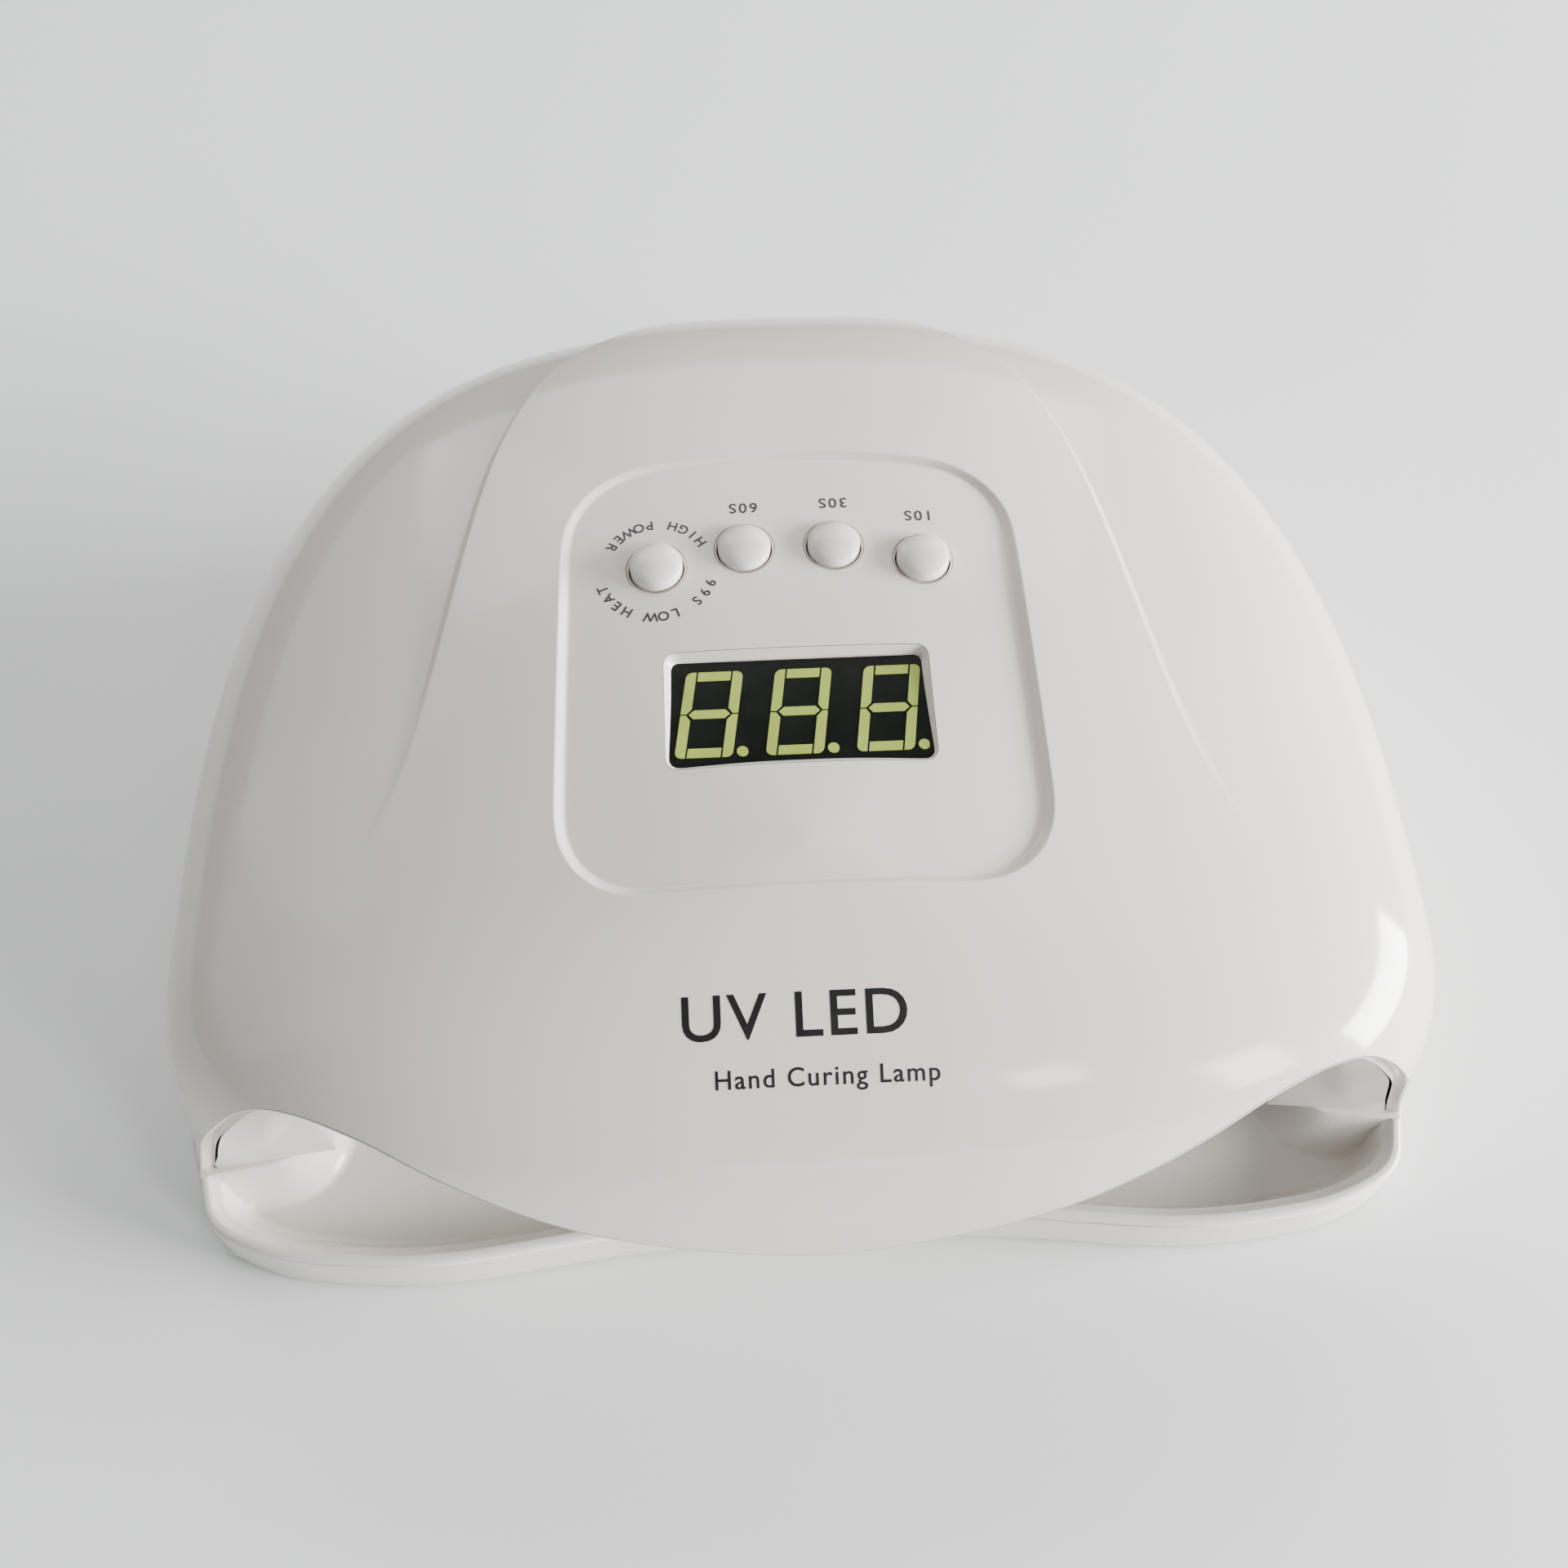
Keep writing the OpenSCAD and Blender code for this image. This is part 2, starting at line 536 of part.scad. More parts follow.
// A bar with pointed ends, lying along x.
module segment(l, t) polygon([[-l / 2, 0], [-l / 2 + t / 2, t / 2], [l / 2 - t / 2, t / 2],
                              [l / 2, 0], [l / 2 - t / 2, -t / 2], [-l / 2 + t / 2, -t / 2]]);
seg_t = 1.5;
seg_gap = 0.3;
digit_w = 6.6;
module digit() {
    half = (digit_h - seg_t) / 2;
    // Sheared point of the digit: the slant follows the height.
    for (row = [-1, 0, 1]) translate([row * half * tan(digit_slant), row * half]) segment(digit_w - seg_gap - 1, seg_t);
    for (side = [-1, 1], row = [-1, 1])
        translate([side * digit_w / 2 + row * half / 2 * tan(digit_slant), row * half / 2])
            rotate(90 - digit_slant) segment(half - seg_gap, seg_t);
}
module display_segments() color([0.70, 0.76, 0.42]) board_frame()
    translate([0, display_at, display_face]) linear_extrude(0.15) for (i = [-1, 0, 1])
        translate([i * digit_pitch, 0]) {
            digit();
            translate([4.4, -digit_h / 2 + 0.8]) circle(d = 1.4);
        }

// ---- Buttons --------------------------------------------------------------------
module tact_switches() color([0.15, 0.15, 0.16]) board_frame() for (b = button_at)
    translate([b[0], b[1], 0]) difference() {
        translate([-3, -3, board_top]) cube([6, 6, switch_top - board_top]);
        translate([0, 0, board_top + 1]) cylinder(d = plunger_d + 0.1, h = 6);
    }
// A cap: domed head, flange under the panel, stem on the plunger.
cap_flange = -3.6;
module button_cap(i) color(white) board_frame() translate([button_at[i][0], button_at[i][1], 0]) {
    r = cap_d / 2;
    rise = 1;
    ball = (r * r + rise * rise) / (2 * rise);
    rotate_extrude() difference() {
        union() {
            translate([0, cap_flange]) square([r, 0.8 - cap_flange]);
            translate([0, cap_flange]) square([5, 0.8]);
            translate([0, plunger_top]) square([1.8, 2]);
            intersection() {
                translate([0, 0.8 + rise - ball]) circle(r = ball);
                translate([0, 0.8]) square([r, 2]);
            }
        }
    }
}
module plunger(i) color([0.85, 0.85, 0.83]) board_frame()
    translate([button_at[i][0], button_at[i][1], switch_top - 1.5]) cylinder(d = plunger_d, h = plunger_top - switch_top + 1.5);
module button_cap_10s() button_cap(0);
module button_cap_30s() button_cap(1);
module button_cap_60s() button_cap(2);
module button_cap_99s() button_cap(3);
module plunger_10s() plunger(0);
module plunger_30s() plunger(1);
module plunger_60s() plunger(2);
module plunger_99s() plunger(3);

// ---- LED boards -------------------------------------------------------------------
// Emitter places: x and y on the ceiling, y and z on a side, x and z at the rear.
ceiling_leds = [for (x = [-38, -14, 14, 38], y = [-34, -12, 10]) [x, y]];
side_leds = [for (y = [-38, -25, -12], z = [26, 38]) [y, z]];
rear_leds = [for (x = [-28, -10, 10, 28], z = [25, 36]) [x, z]];
ceiling_board_z = 64.5;
side_board_x = 82;
rear_board_y = 64;

module board_plate(size) translate(-[size[0], size[1], 0] / 2) cube(size);
module led_board_ceiling() color(board_white) translate([0, -12, ceiling_board_z]) board_plate([92, 60, board_t]);
module led_board_right() color(board_white)
    translate([side_board_x, -25, 32]) rotate([0, 90, 0]) board_plate([26, 44, board_t]);
module led_board_left() color(board_white) mirror([1, 0, 0])
    translate([side_board_x, -25, 32]) rotate([0, 90, 0]) board_plate([26, 44, board_t]);
module led_board_rear() color(board_white)
    translate([0, rear_board_y, 30.5]) rotate([-90, 0, 0]) board_plate([72, 25, board_t]);

// An emitter that points along -Z from z = 0, with a domed lens at its tip.
module emitter(l) rotate([180, 0, 0]) rotate_extrude($fn = 48) union() {
    square([led_d / 2 + 0.4, 1]);
    square([led_d / 2, l - led_d / 2]);
    intersection() {
        translate([0, l - led_d / 2]) circle(d = led_d);
        translate([0, l - led_d / 2]) square(led_d);
    }
}
module leds_ceiling() color([0.80, 0.80, 0.95]) for (p = ceiling_leds)
    translate([p[0], p[1], ceiling_board_z]) emitter(6.9);
module leds_right() color([0.80, 0.80, 0.95]) for (p = side_leds)
    translate([side_board_x, p[0], p[1]]) rotate([0, 90, 0]) emitter(7.2);
module leds_left() color([0.80, 0.80, 0.95]) mirror([1, 0, 0]) for (p = side_leds)
    translate([side_board_x, p[0], p[1]]) rotate([0, 90, 0]) emitter(7.2);
module leds_rear() color([0.80, 0.80, 0.95]) for (p = rear_leds)
    translate([p[0], rear_board_y, p[1]]) rotate([-90, 0, 0]) emitter(8.5);

// ---- Hand sensor --------------------------------------------------------------------
module sensor_window() color([0.08, 0.04, 0.06]) translate([each sensor_at, base_z + vault_h - 0.4])
    rotate_extrude() polygon([[0, 0], [4.4, 0], [5, 0.6], [5, 2.2], [0, 2.2]]);
module sensor_board() color(board_green) translate([each sensor_at, base_z + vault_h + 2.2])
    board_plate([22, 9, board_t]);

// ---- DC inlet ------------------------------------------------------------------------
jack_face_y = 83;
module dc_jack() color([0.06, 0.06, 0.06]) difference() {
    union() {
        translate([-4.5, 67.5, jack_z - 5]) cube([9, 11, 11]);
        translate([0, jack_face_y, jack_z]) rotate([90, 0, 0]) cylinder(d = jack_d, h = 8);
    }
    translate([0, jack_face_y + 1, jack_z]) rotate([90, 0, 0]) cylinder(d = jack_bore, h = 11);
}
module dc_contact_pin() color(steel) translate([0, jack_face_y - 10, jack_z]) rotate([-90, 0, 0])
    rotate_extrude() polygon([[0, 0], [1, 0], [1, 8.6], [0.6, 9.2], [0, 9.2]]);

// ---- Wiring ----------------------------------------------------------------------------
// A round tube along the points of a path, with flat ends.
module lead(path, d) {
    sides = 8;
    n = len(path);
    function ahead(i) = let (v = path[min(i + 1, n - 1)] - path[max(i - 1, 0)]) v / norm(v);
    function ring(i) =
        let (t = ahead(i), s = cross(t, abs(t[0]) < 0.9 ? [1, 0, 0] : [0, 1, 0]), u = s / norm(s), v = cross(t, u))
        [for (k = [0:sides - 1]) path[i] + d / 2 * (u * cos(360 * k / sides) + v * sin(360 * k / sides))];
    points = [for (i = [0:n - 1]) each ring(i)];
    faces = concat([[for (k = [0:sides - 1]) k]], [[for (k = [sides - 1:-1:0]) (n - 1) * sides + k]],
        [for (i = [0:n - 2], k = [0:sides - 1], f = [
            [i * sides + k, (i + 1) * sides + k, (i + 1) * sides + (k + 1) % sides],
            [i * sides + k, (i + 1) * sides + (k + 1) % sides, i * sides + (k + 1) % sides]]) f]);
    polyhedron(points, faces);
}
lead_d = 1.6;
// From the jack's terminals up the inside of the back wall to the right-hand plug.
power_route = [[0, 66.7, 30], [0.6, 66.9, 35], [2.2, 67, 41], [4, 66.8, 44.8], [7.5, 64.6, 48.4], [12, 60, 53], [16, 54, 58],
               [20, 46, 64], [22, 36, 68], [22, 27, 69.5], [22, 19, 70], [22, 12, 69.2]];
module power_leads() color([0.75, 0.10, 0.08]) for (s = [-1, 1])
    lead([for (p = power_route) p + [s * 1.1, 0, 0]], lead_d);
// From the middle plugs down over the vault to the side boards.
led_route = [[14, 13, 68.2], [20, 20.5, 67.9], [34, 23, 66], [50, 18, 63.5], [63, 5, 60.5], [76, -8, 53],
             [82, -14, 48.5], [82.8, -18, 45.8]];
module led_leads() color([0.85, 0.85, 0.85]) for (s = [-1, 1])
    lead([for (p = led_route) [s * p[0], p[1], p[2]]], lead_d);

tray_floor();
tray_rim();
tray_platform();
rubber_feet();
strike_plates();
upper_shell();
liner_ceiling();
liner_left();
liner_right();
liner_rear();
liner_visor();
magnets();
shell_screws();
control_board();
board_screws();
board_components();
board_connectors();
display_module();
display_segments();
tact_switches();
button_cap_10s();
button_cap_30s();
button_cap_60s();
button_cap_99s();
plunger_10s();
plunger_30s();
plunger_60s();
plunger_99s();
led_board_ceiling();
led_board_left();
led_board_right();
led_board_rear();
leds_ceiling();
leds_left();
leds_right();
leds_rear();
sensor_board();
sensor_window();
dc_jack();
dc_contact_pin();
power_leads();
led_leads();
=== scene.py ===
"""A UV curing lamp in Blender: a glossy domed housing on a flat tray, in the CAD frame."""
import json
import math

import bmesh
import bpy
import numpy as np
from mathutils import Matrix, Vector
from mathutils.geometry import delaunay_2d_cdt
from mathutils.kdtree import KDTree


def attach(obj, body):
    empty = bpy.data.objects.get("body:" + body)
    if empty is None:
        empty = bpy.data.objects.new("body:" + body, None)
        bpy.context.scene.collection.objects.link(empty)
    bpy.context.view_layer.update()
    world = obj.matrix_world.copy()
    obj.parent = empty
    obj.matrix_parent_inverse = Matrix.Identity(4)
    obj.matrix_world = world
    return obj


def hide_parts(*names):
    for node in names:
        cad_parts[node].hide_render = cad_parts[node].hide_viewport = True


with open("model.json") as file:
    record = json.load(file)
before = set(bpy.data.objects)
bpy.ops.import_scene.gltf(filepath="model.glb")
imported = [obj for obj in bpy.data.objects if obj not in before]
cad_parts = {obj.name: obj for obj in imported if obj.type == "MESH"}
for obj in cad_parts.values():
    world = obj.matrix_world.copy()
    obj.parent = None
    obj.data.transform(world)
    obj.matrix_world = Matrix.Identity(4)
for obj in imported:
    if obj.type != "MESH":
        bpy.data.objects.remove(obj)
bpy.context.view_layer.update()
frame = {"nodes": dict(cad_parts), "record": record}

MM = 0.001                 # every length below is in millimetres, and meshes are in metres

# ---- Dome: the same surface as the CAD shell ----
DOME_W, DOME_FRONT, DOME_REAR, DOME_Y, DOME_H = 189.0, 42.8, 115.7, -45.1, 78.0
TOP_RISE = 0.00285
PLAN_POWER, SHOULDER_POWER, FLANK_POWER = 2.66, 1.3, 9.0
SIDE_FLARE, FLARE_TOP, REAR_DRAFT, DRAFT_TOP = 9.3, 57.0, 20.0, 75.0
WALL = 2.0
BASE_Z = 11.5
CORNER = math.radians(80.5)
LIP = np.array([[0, 36], [16, 39.2], [31, 44.4], [46, 51.3], [54, 54.5], [60, 56.4], [66, 57.2],
                [70.5, 57.1], [75, 56.1], [79, 53.9], [83, 49.4], [88, 39.8], [92.5, 27.5], [97.6, BASE_Z]])

# ---- Control panel ----
PANEL_HALF_W, PANEL_FRONT, PANEL_REAR = 34.6, -51.5, 20.8
PANEL_CORNER_FRONT, PANEL_CORNER_REAR, PANEL_ARC = 12.0, 15.0, 140.0
PANEL_DROP = 1.0
PANEL_WALL = 1.5           # width of the sloping wall round the panel
BOARD_Y, BOARD_Z, BOARD_TILT = -12.0, 82.2, math.radians(7)
BUTTONS = {"10s": (19.7, 11.9), "30s": (6.65, 14.7), "60s": (-6.65, 14.7), "99s": (-19.7, 11.9)}
CAP_R, HOLE_R = 3.9, 4.1
WINDOW_W, WINDOW_H, WINDOW_CORNER, DISPLAY_AT, DISPLAY_N = 35.8, 16.4, 1.0, -13.0, -1.5

# Hood crease, seen from above: its right half, from the rear middle to where it fades out.
CREASE = np.array([[0, 63.4], [13, 62], [25, 56.5], [37, 44.5], [43.6, 29], [46.6, 17.5],
                   [49.6, 2], [52.4, -13], [55.6, -27], [60.2, -38.5], [66.5, -50]])


def lip_z(x):
    """Height of the lip at x, as a smooth curve through the lip points."""
    slope = np.zeros(len(LIP))
    for i in range(1, len(LIP)):
        a, b = LIP[i - 1], LIP[min(i + 1, len(LIP) - 1)]
        slope[i] = (b[1] - a[1]) / (b[0] - a[0])
    x = np.abs(x)
    i = np.clip(np.searchsorted(LIP[:, 0], x, side="right") - 1, 0, len(LIP) - 2)
    a, b = LIP[i], LIP[i + 1]
    w = b[..., 0] - a[..., 0]
    t = np.minimum(1, (x - a[..., 0]) / w)
    return (a[..., 1] * (2 * t**3 - 3 * t**2 + 1) + slope[i] * w * (t**3 - 2 * t**2 + t)
            + b[..., 1] * (3 * t**2 - 2 * t**3) + slope[i + 1] * w * (t**3 - t**2))


def plan_radius(a, side, front, rear):
    """Radius of the superellipse at plan angle a: 0 is the front, a quarter turn the right."""
    along = np.where(np.cos(a) > 0, front, rear)
    return ((np.abs(np.sin(a)) / side) ** PLAN_POWER
            + (np.abs(np.cos(a)) / along) ** PLAN_POWER) ** (-1 / PLAN_POWER)


def dome_reach(u):
    return np.maximum(0, 1 - u**FLANK_POWER) ** (1 / SHOULDER_POWER)


def dome(a, u, off=0.0):
    """Point of the dome at plan angle a and height share u, moved inward by off."""
    side = DOME_W / 2 - off
    r = dome_reach(u) * plan_radius(a, side, DOME_FRONT - off, DOME_REAR - off)
    x, y = r * np.sin(a), -r * np.cos(a)
    z = u * (DOME_H - off) * (1 + TOP_RISE * y)
    flare = SIDE_FLARE * np.maximum(0, 1 - z / FLARE_TOP) ** 2 * (x / side) ** 2 * np.sign(x)
    draft = np.where(y > 0, REAR_DRAFT * np.maximum(0, 1 - z / DRAFT_TOP) * (y / DOME_REAR) ** 2, 0)
    return np.stack([x + flare, DOME_Y + y + draft, z], -1)


# Length along a column, from the foot up and in to the middle, against the height share.
SHARES = 1 - np.linspace(1, 0, 20001) ** 3
LENGTHS = DOME_H * SHARES + DOME_W / 2 * (1 - dome_reach(SHARES))
FULL = DOME_H + DOME_W / 2


def halve(a, low):
    """Height share at which low(share) turns false on each column."""
    lo, hi = np.zeros_like(a), np.full_like(a, 0.95)
    for _ in range(30):
        mid = (lo + hi) / 2
        under = low(mid)
        lo, hi = np.where(under, mid, lo), np.where(under, hi, mid)
    return (lo + hi) / 2


def edge_u(a, off=0.0):
    """Height share at which column a meets the housing's edge, level with its outer face."""
    front = np.abs((a + math.pi) % (2 * math.pi) - math.pi) < CORNER
    def under_lip(u):
        p = dome(a, u)
        return p[..., 2] < np.where(front, np.maximum(BASE_Z, lip_z(p[..., 0])), BASE_Z)
    u = halve(a, under_lip)
    if np.isscalar(off) and off == 0:
        return u
    height = dome(a, u)[..., 2]
    return halve(a, lambda share: dome(a, share, off)[..., 2] < height)


def flat_of(a, u):
    """The dome unrolled: the point of the flat disc that stands for (a, u)."""
    r = FULL - np.interp(u, SHARES, LENGTHS)
    return np.stack([r * np.sin(a), -r * np.cos(a)], -1)


def polar_of(q):
    r = np.hypot(q[..., 0], q[..., 1])
    return np.arctan2(q[..., 0], -q[..., 1]), np.interp(FULL - r, LENGTHS, SHARES)


def flat_under(xy):
    """Flat point of the undisturbed dome top over a plan point."""
    x, v = xy[..., 0], xy[..., 1] - DOME_Y
    a = np.arctan2(x, -v)
    share = np.minimum(0.9999, np.hypot(x, v) / plan_radius(a, DOME_W / 2, DOME_FRONT, DOME_REAR))
    return flat_of(a, (1 - share**SHOULDER_POWER) ** (1 / FLANK_POWER))


# ---- Curves in plan ----
def resample(path, step, closed):
    """The path with points about step apart."""
    p = np.asarray(path, float)
    if closed:
        p = np.vstack([p, p[:1]])
    s = np.concatenate([[0], np.cumsum(np.linalg.norm(np.diff(p, axis=0), axis=1))])
    n = max(3, int(round(s[-1] / step)))
    t = np.linspace(0, s[-1], n + 1)
    out = np.stack([np.interp(t, s, p[:, k]) for k in range(p.shape[1])], -1)
    return out[:-1] if closed else out


def smooth(path, n):
    """Catmull-Rom curve through the points, with n steps for each stretch."""
    p = np.vstack([2 * path[0] - path[1], path, 2 * path[-1] - path[-2]])
    out = []
    for i in range(1, len(p) - 2):
        a, b, c, d = p[i - 1:i + 3]
        for t in np.arange(n) / n:
            out.append(0.5 * (2 * b + (c - a) * t + (2 * a - 5 * b + 4 * c - d) * t**2
                              + (3 * b - a - 3 * c + d) * t**3))
    return np.array(out + [path[-1]])


def relax(path, rounds, closed):
    """Evens out small kinks of a dense path."""
    p = np.array(path, float)
    for _ in range(rounds):
        q = 0.5 * p + 0.25 * (np.roll(p, 1, 0) + np.roll(p, -1, 0))
        if not closed:
            q[0], q[-1] = p[0], p[-1]
        p = q
    return p


def normals_of(path, closed):
    """Unit normals of a plan path, to its left."""
    if closed:
        t = np.roll(path, -1, 0) - np.roll(path, 1, 0)
    else:
        t = np.gradient(path, axis=0)
    t = t / np.linalg.norm(t, axis=1)[:, None]
    return np.stack([-t[:, 1], t[:, 0]], -1)


def hull(points):
    """Convex hull of plan points, counterclockwise."""
    pts = sorted(map(tuple, points))
    def half(seq):
        out = []
        for p in seq:
            while len(out) > 1 and ((out[-1][0] - out[-2][0]) * (p[1] - out[-2][1])
                                    - (out[-1][1] - out[-2][1]) * (p[0] - out[-2][0])) <= 0:
                out.pop()
            out.append(p)
        return out[:-1]
    return np.array(half(pts) + half(pts[::-1]))


def circle(cx, cy, r, n):
    t = 2 * math.pi * np.arange(n) / n
    return np.stack([cx + r * np.cos(t), cy + r * np.sin(t)], -1)


def rounded_box(w, h, r, step):
    """Rounded rectangle about the origin, counterclockwise."""
    corners = [(w / 2 - r, h / 2 - r, 0), (r - w / 2, h / 2 - r, 1),
               (r - w / 2, r - h / 2, 2), (w / 2 - r, r - h / 2, 3)]
    turn = np.linspace(0, math.pi / 2, 9)
    pts = [(cx + r * math.cos(t + k * math.pi / 2), cy + r * math.sin(t + k * math.pi / 2))
           for cx, cy, k in corners for t in turn]
    return resample(np.array(pts), step, True)


def inside(points, loop):
    """Which plan points lie in a closed loop."""
    x, y = points[:, 0], points[:, 1]
    odd = np.zeros(len(points), bool)
    b = np.roll(loop, -1, 0)
    for (x1, y1), (x2, y2) in zip(loop, b):
        if y1 == y2:
            continue
        cross = ((y1 > y) != (y2 > y)) & (x < (x2 - x1) * (y - y1) / (y2 - y1) + x1)
        odd ^= cross
    return odd


class Ruler:
    """Signed distance from plan points to a curve, positive on its left, and the share along it."""
    def __init__(self, path, closed):
        self.path = np.asarray(path, float)
        self.closed = closed
        ends = np.vstack([self.path, self.path[:1]]) if closed else self.path
        self.a, self.b = ends[:-1], ends[1:]

    def __call__(self, xy):
        flat = xy.reshape(-1, 2)
        dist, share = np.empty(len(flat)), np.empty(len(flat))
        d = self.b - self.a
        dd = (d**2).sum(1)
        n = len(self.a)
        for k in range(0, len(flat), 2000):
            p = flat[k:k + 2000, None]
            t = np.clip(((p - self.a) * d).sum(-1) / dd, 0, 1)
            gap = p - (self.a + t[..., None] * d)
            g2 = (gap**2).sum(-1)
            i = g2.argmin(1)
            row = np.arange(len(i))
            side = d[i, 0] * gap[row, i, 1] - d[i, 1] * gap[row, i, 0]
            dist[k:k + 2000] = np.sqrt(g2[row, i]) * np.where(side >= 0, 1, -1)
            share[k:k + 2000] = (i + t[row, i]) / n
        return dist.reshape(xy.shape[:-1]), share.reshape(xy.shape[:-1])


def ease(t):
    """0 to 1 with a straight middle and rounded ends, each k wide."""
    t = np.clip(t, 0, 1)
    k = 0.28
    low = t**2 / (2 * k)
    high = 1 - k - (1 - t) ** 2 / (2 * k)
    mid = t - k / 2
    out = np.where(t < k, low, np.where(t > 1 - k, high, mid))
    return out / (1 - k)


def fade(t):
    t = np.clip(t, 0, 1)
    return t * t * (3 - 2 * t)


def panel_loop():
    """Outline of the control panel, counterclockwise."""
    w = PANEL_HALF_W
    pts = []
    for s in (-1, 1):
        pts += list(circle(s * (w - PANEL_CORNER_FRONT), PANEL_FRONT + PANEL_CORNER_FRONT,
                           PANEL_CORNER_FRONT, 96))
        pts += list(circle(s * (w - PANEL_CORNER_REAR - 0.6), PANEL_REAR - PANEL_CORNER_REAR - 1.6,
                           PANEL_CORNER_REAR, 96))
    x = np.arange(-18, 18.1, 1)
    pts += list(np.stack([x, PANEL_REAR - x**2 / (2 * PANEL_ARC)], -1))
    return relax(resample(hull(pts), 0.9, True), 12, True)


panel = panel_loop()
panel_ruler = Ruler(panel, True)
half = smooth(CREASE, 12)
crease = relax(resample(np.vstack([half[::-1] * [-1, 1], half[1:]]), 1.2, False)[::-1], 10, False)
crease_ruler = Ruler(crease, False)
CREASE_STEP = 1.25
CREASE_RECOVER = 27.0
CREASE_EDGE = 1.3


def relief(xy):
    """How far the shell stands off the plain dome over a plan point, in millimetres."""
    d, _ = panel_ruler(xy)
    depth = PANEL_DROP * (1 - 0.35 * fade((xy[..., 1] + 5) / 22))
    out = -depth * ease(d / PANEL_WALL)
    c, share = crease_ruler(xy)
    outward = -c
    ends = np.abs(2 * share - 1)
    strength = CREASE_STEP * (1 - fade((ends - 0.28) / 0.72)) + 0.25 * (1 - fade(ends / 0.5))
    drop = fade(outward / CREASE_EDGE + 0.4) * (1 - fade((outward - 1) / CREASE_RECOVER))
    return out - strength * drop


def normal_of(surface, q, e=0.04):
    """Unit normals of a surface over flat points."""
    n = np.cross(*(surface(q + d) - surface(q - d) for d in np.array([[e, 0], [0, e]])))
    return n / np.linalg.norm(n, axis=-1)[..., None]


def base_normal(q, off):
    return normal_of(lambda p: dome(*polar_of(p), off), q, 0.02)


def shell_point(q, off=0.0):
    """Point of the shell's outer skin, or of its inner one for an off of the wall."""
    a, u = polar_of(q)
    outer = dome(a, u, 0.0)
    h = np.where(outer[..., 2] > 50, relief(outer[..., :2]), 0.0)
    return dome(a, u, off) + h[..., None] * base_normal(q, off)


def flat_at(xy):
    """Flat point whose shell point lies over xy."""
    aim = np.array(xy, float)
    for _ in range(4):
        aim = aim + (xy - shell_point(flat_under(aim))[..., :2])
    return flat_under(aim)


# ---- Mesh building ----
GRID_CLEAR = 0.62          # nearest a grid point may come to a line, as a share of the spacing
MERGE, NO_AREA = 1e-6, 1e-9


def grid_inside(boundary, holes, spacing, tree):
    """Staggered grid of plan points in a region, clear of the points in the tree."""
    lo, hi = boundary.min(0), boundary.max(0)
    rows = np.arange(lo[1], hi[1], spacing * math.sqrt(0.75))
    grid = np.array([(x + (k % 2) * spacing / 2, y) for k, y in enumerate(rows)
                     for x in np.arange(lo[0], hi[0], spacing)])
    grid = grid[inside(grid, boundary)]
    for h in holes:
        grid = grid[~inside(grid, h)]
    return [tuple(p) for p in grid if tree.find((*p, 0))[2] > GRID_CLEAR * spacing]


def triangulate(boundary, holes, guides, spacing):
    """Triangles over a plan region whose edges follow every loop and guide line."""
    pts, edges = [], []

    def add(path, closed):
        first = len(pts)
        pts.extend(map(tuple, path))
        n = len(path)
        edges.extend((first + i, first + (i + 1) % n) for i in range(n if closed else n - 1))
    add(boundary, True)
    for h in holes:
        add(h, True)
    for g, closed in guides:
        add(g, closed)
    tree = KDTree(len(pts))
    for i, p in enumerate(pts):
        tree.insert((*p, 0), i)
    tree.balance()
    pts.extend(grid_inside(boundary, holes, spacing, tree))
    verts, _, tris, _, _, _ = delaunay_2d_cdt([Vector(p) for p in pts], edges, [], 0, MERGE)
    verts = np.array([tuple(v) for v in verts])
    tris = np.array([t for t in tris if len(t) == 3])
    middle = verts[tris].mean(1)
    keep = inside(middle, boundary)
    for h in holes:
        keep &= ~inside(middle, h)
    tris = tris[keep]
    a, b, c = verts[tris[:, 0]], verts[tris[:, 1]], verts[tris[:, 2]]
    turn = (b - a)[:, 0] * (c - a)[:, 1] - (b - a)[:, 1] * (c - a)[:, 0]
    tris[turn < 0] = tris[turn < 0][:, ::-1]
    tris = tris[np.abs(turn) > NO_AREA]
    used, tris = np.unique(tris, return_inverse=True)
    return verts[used], tris.reshape(-1, 3)


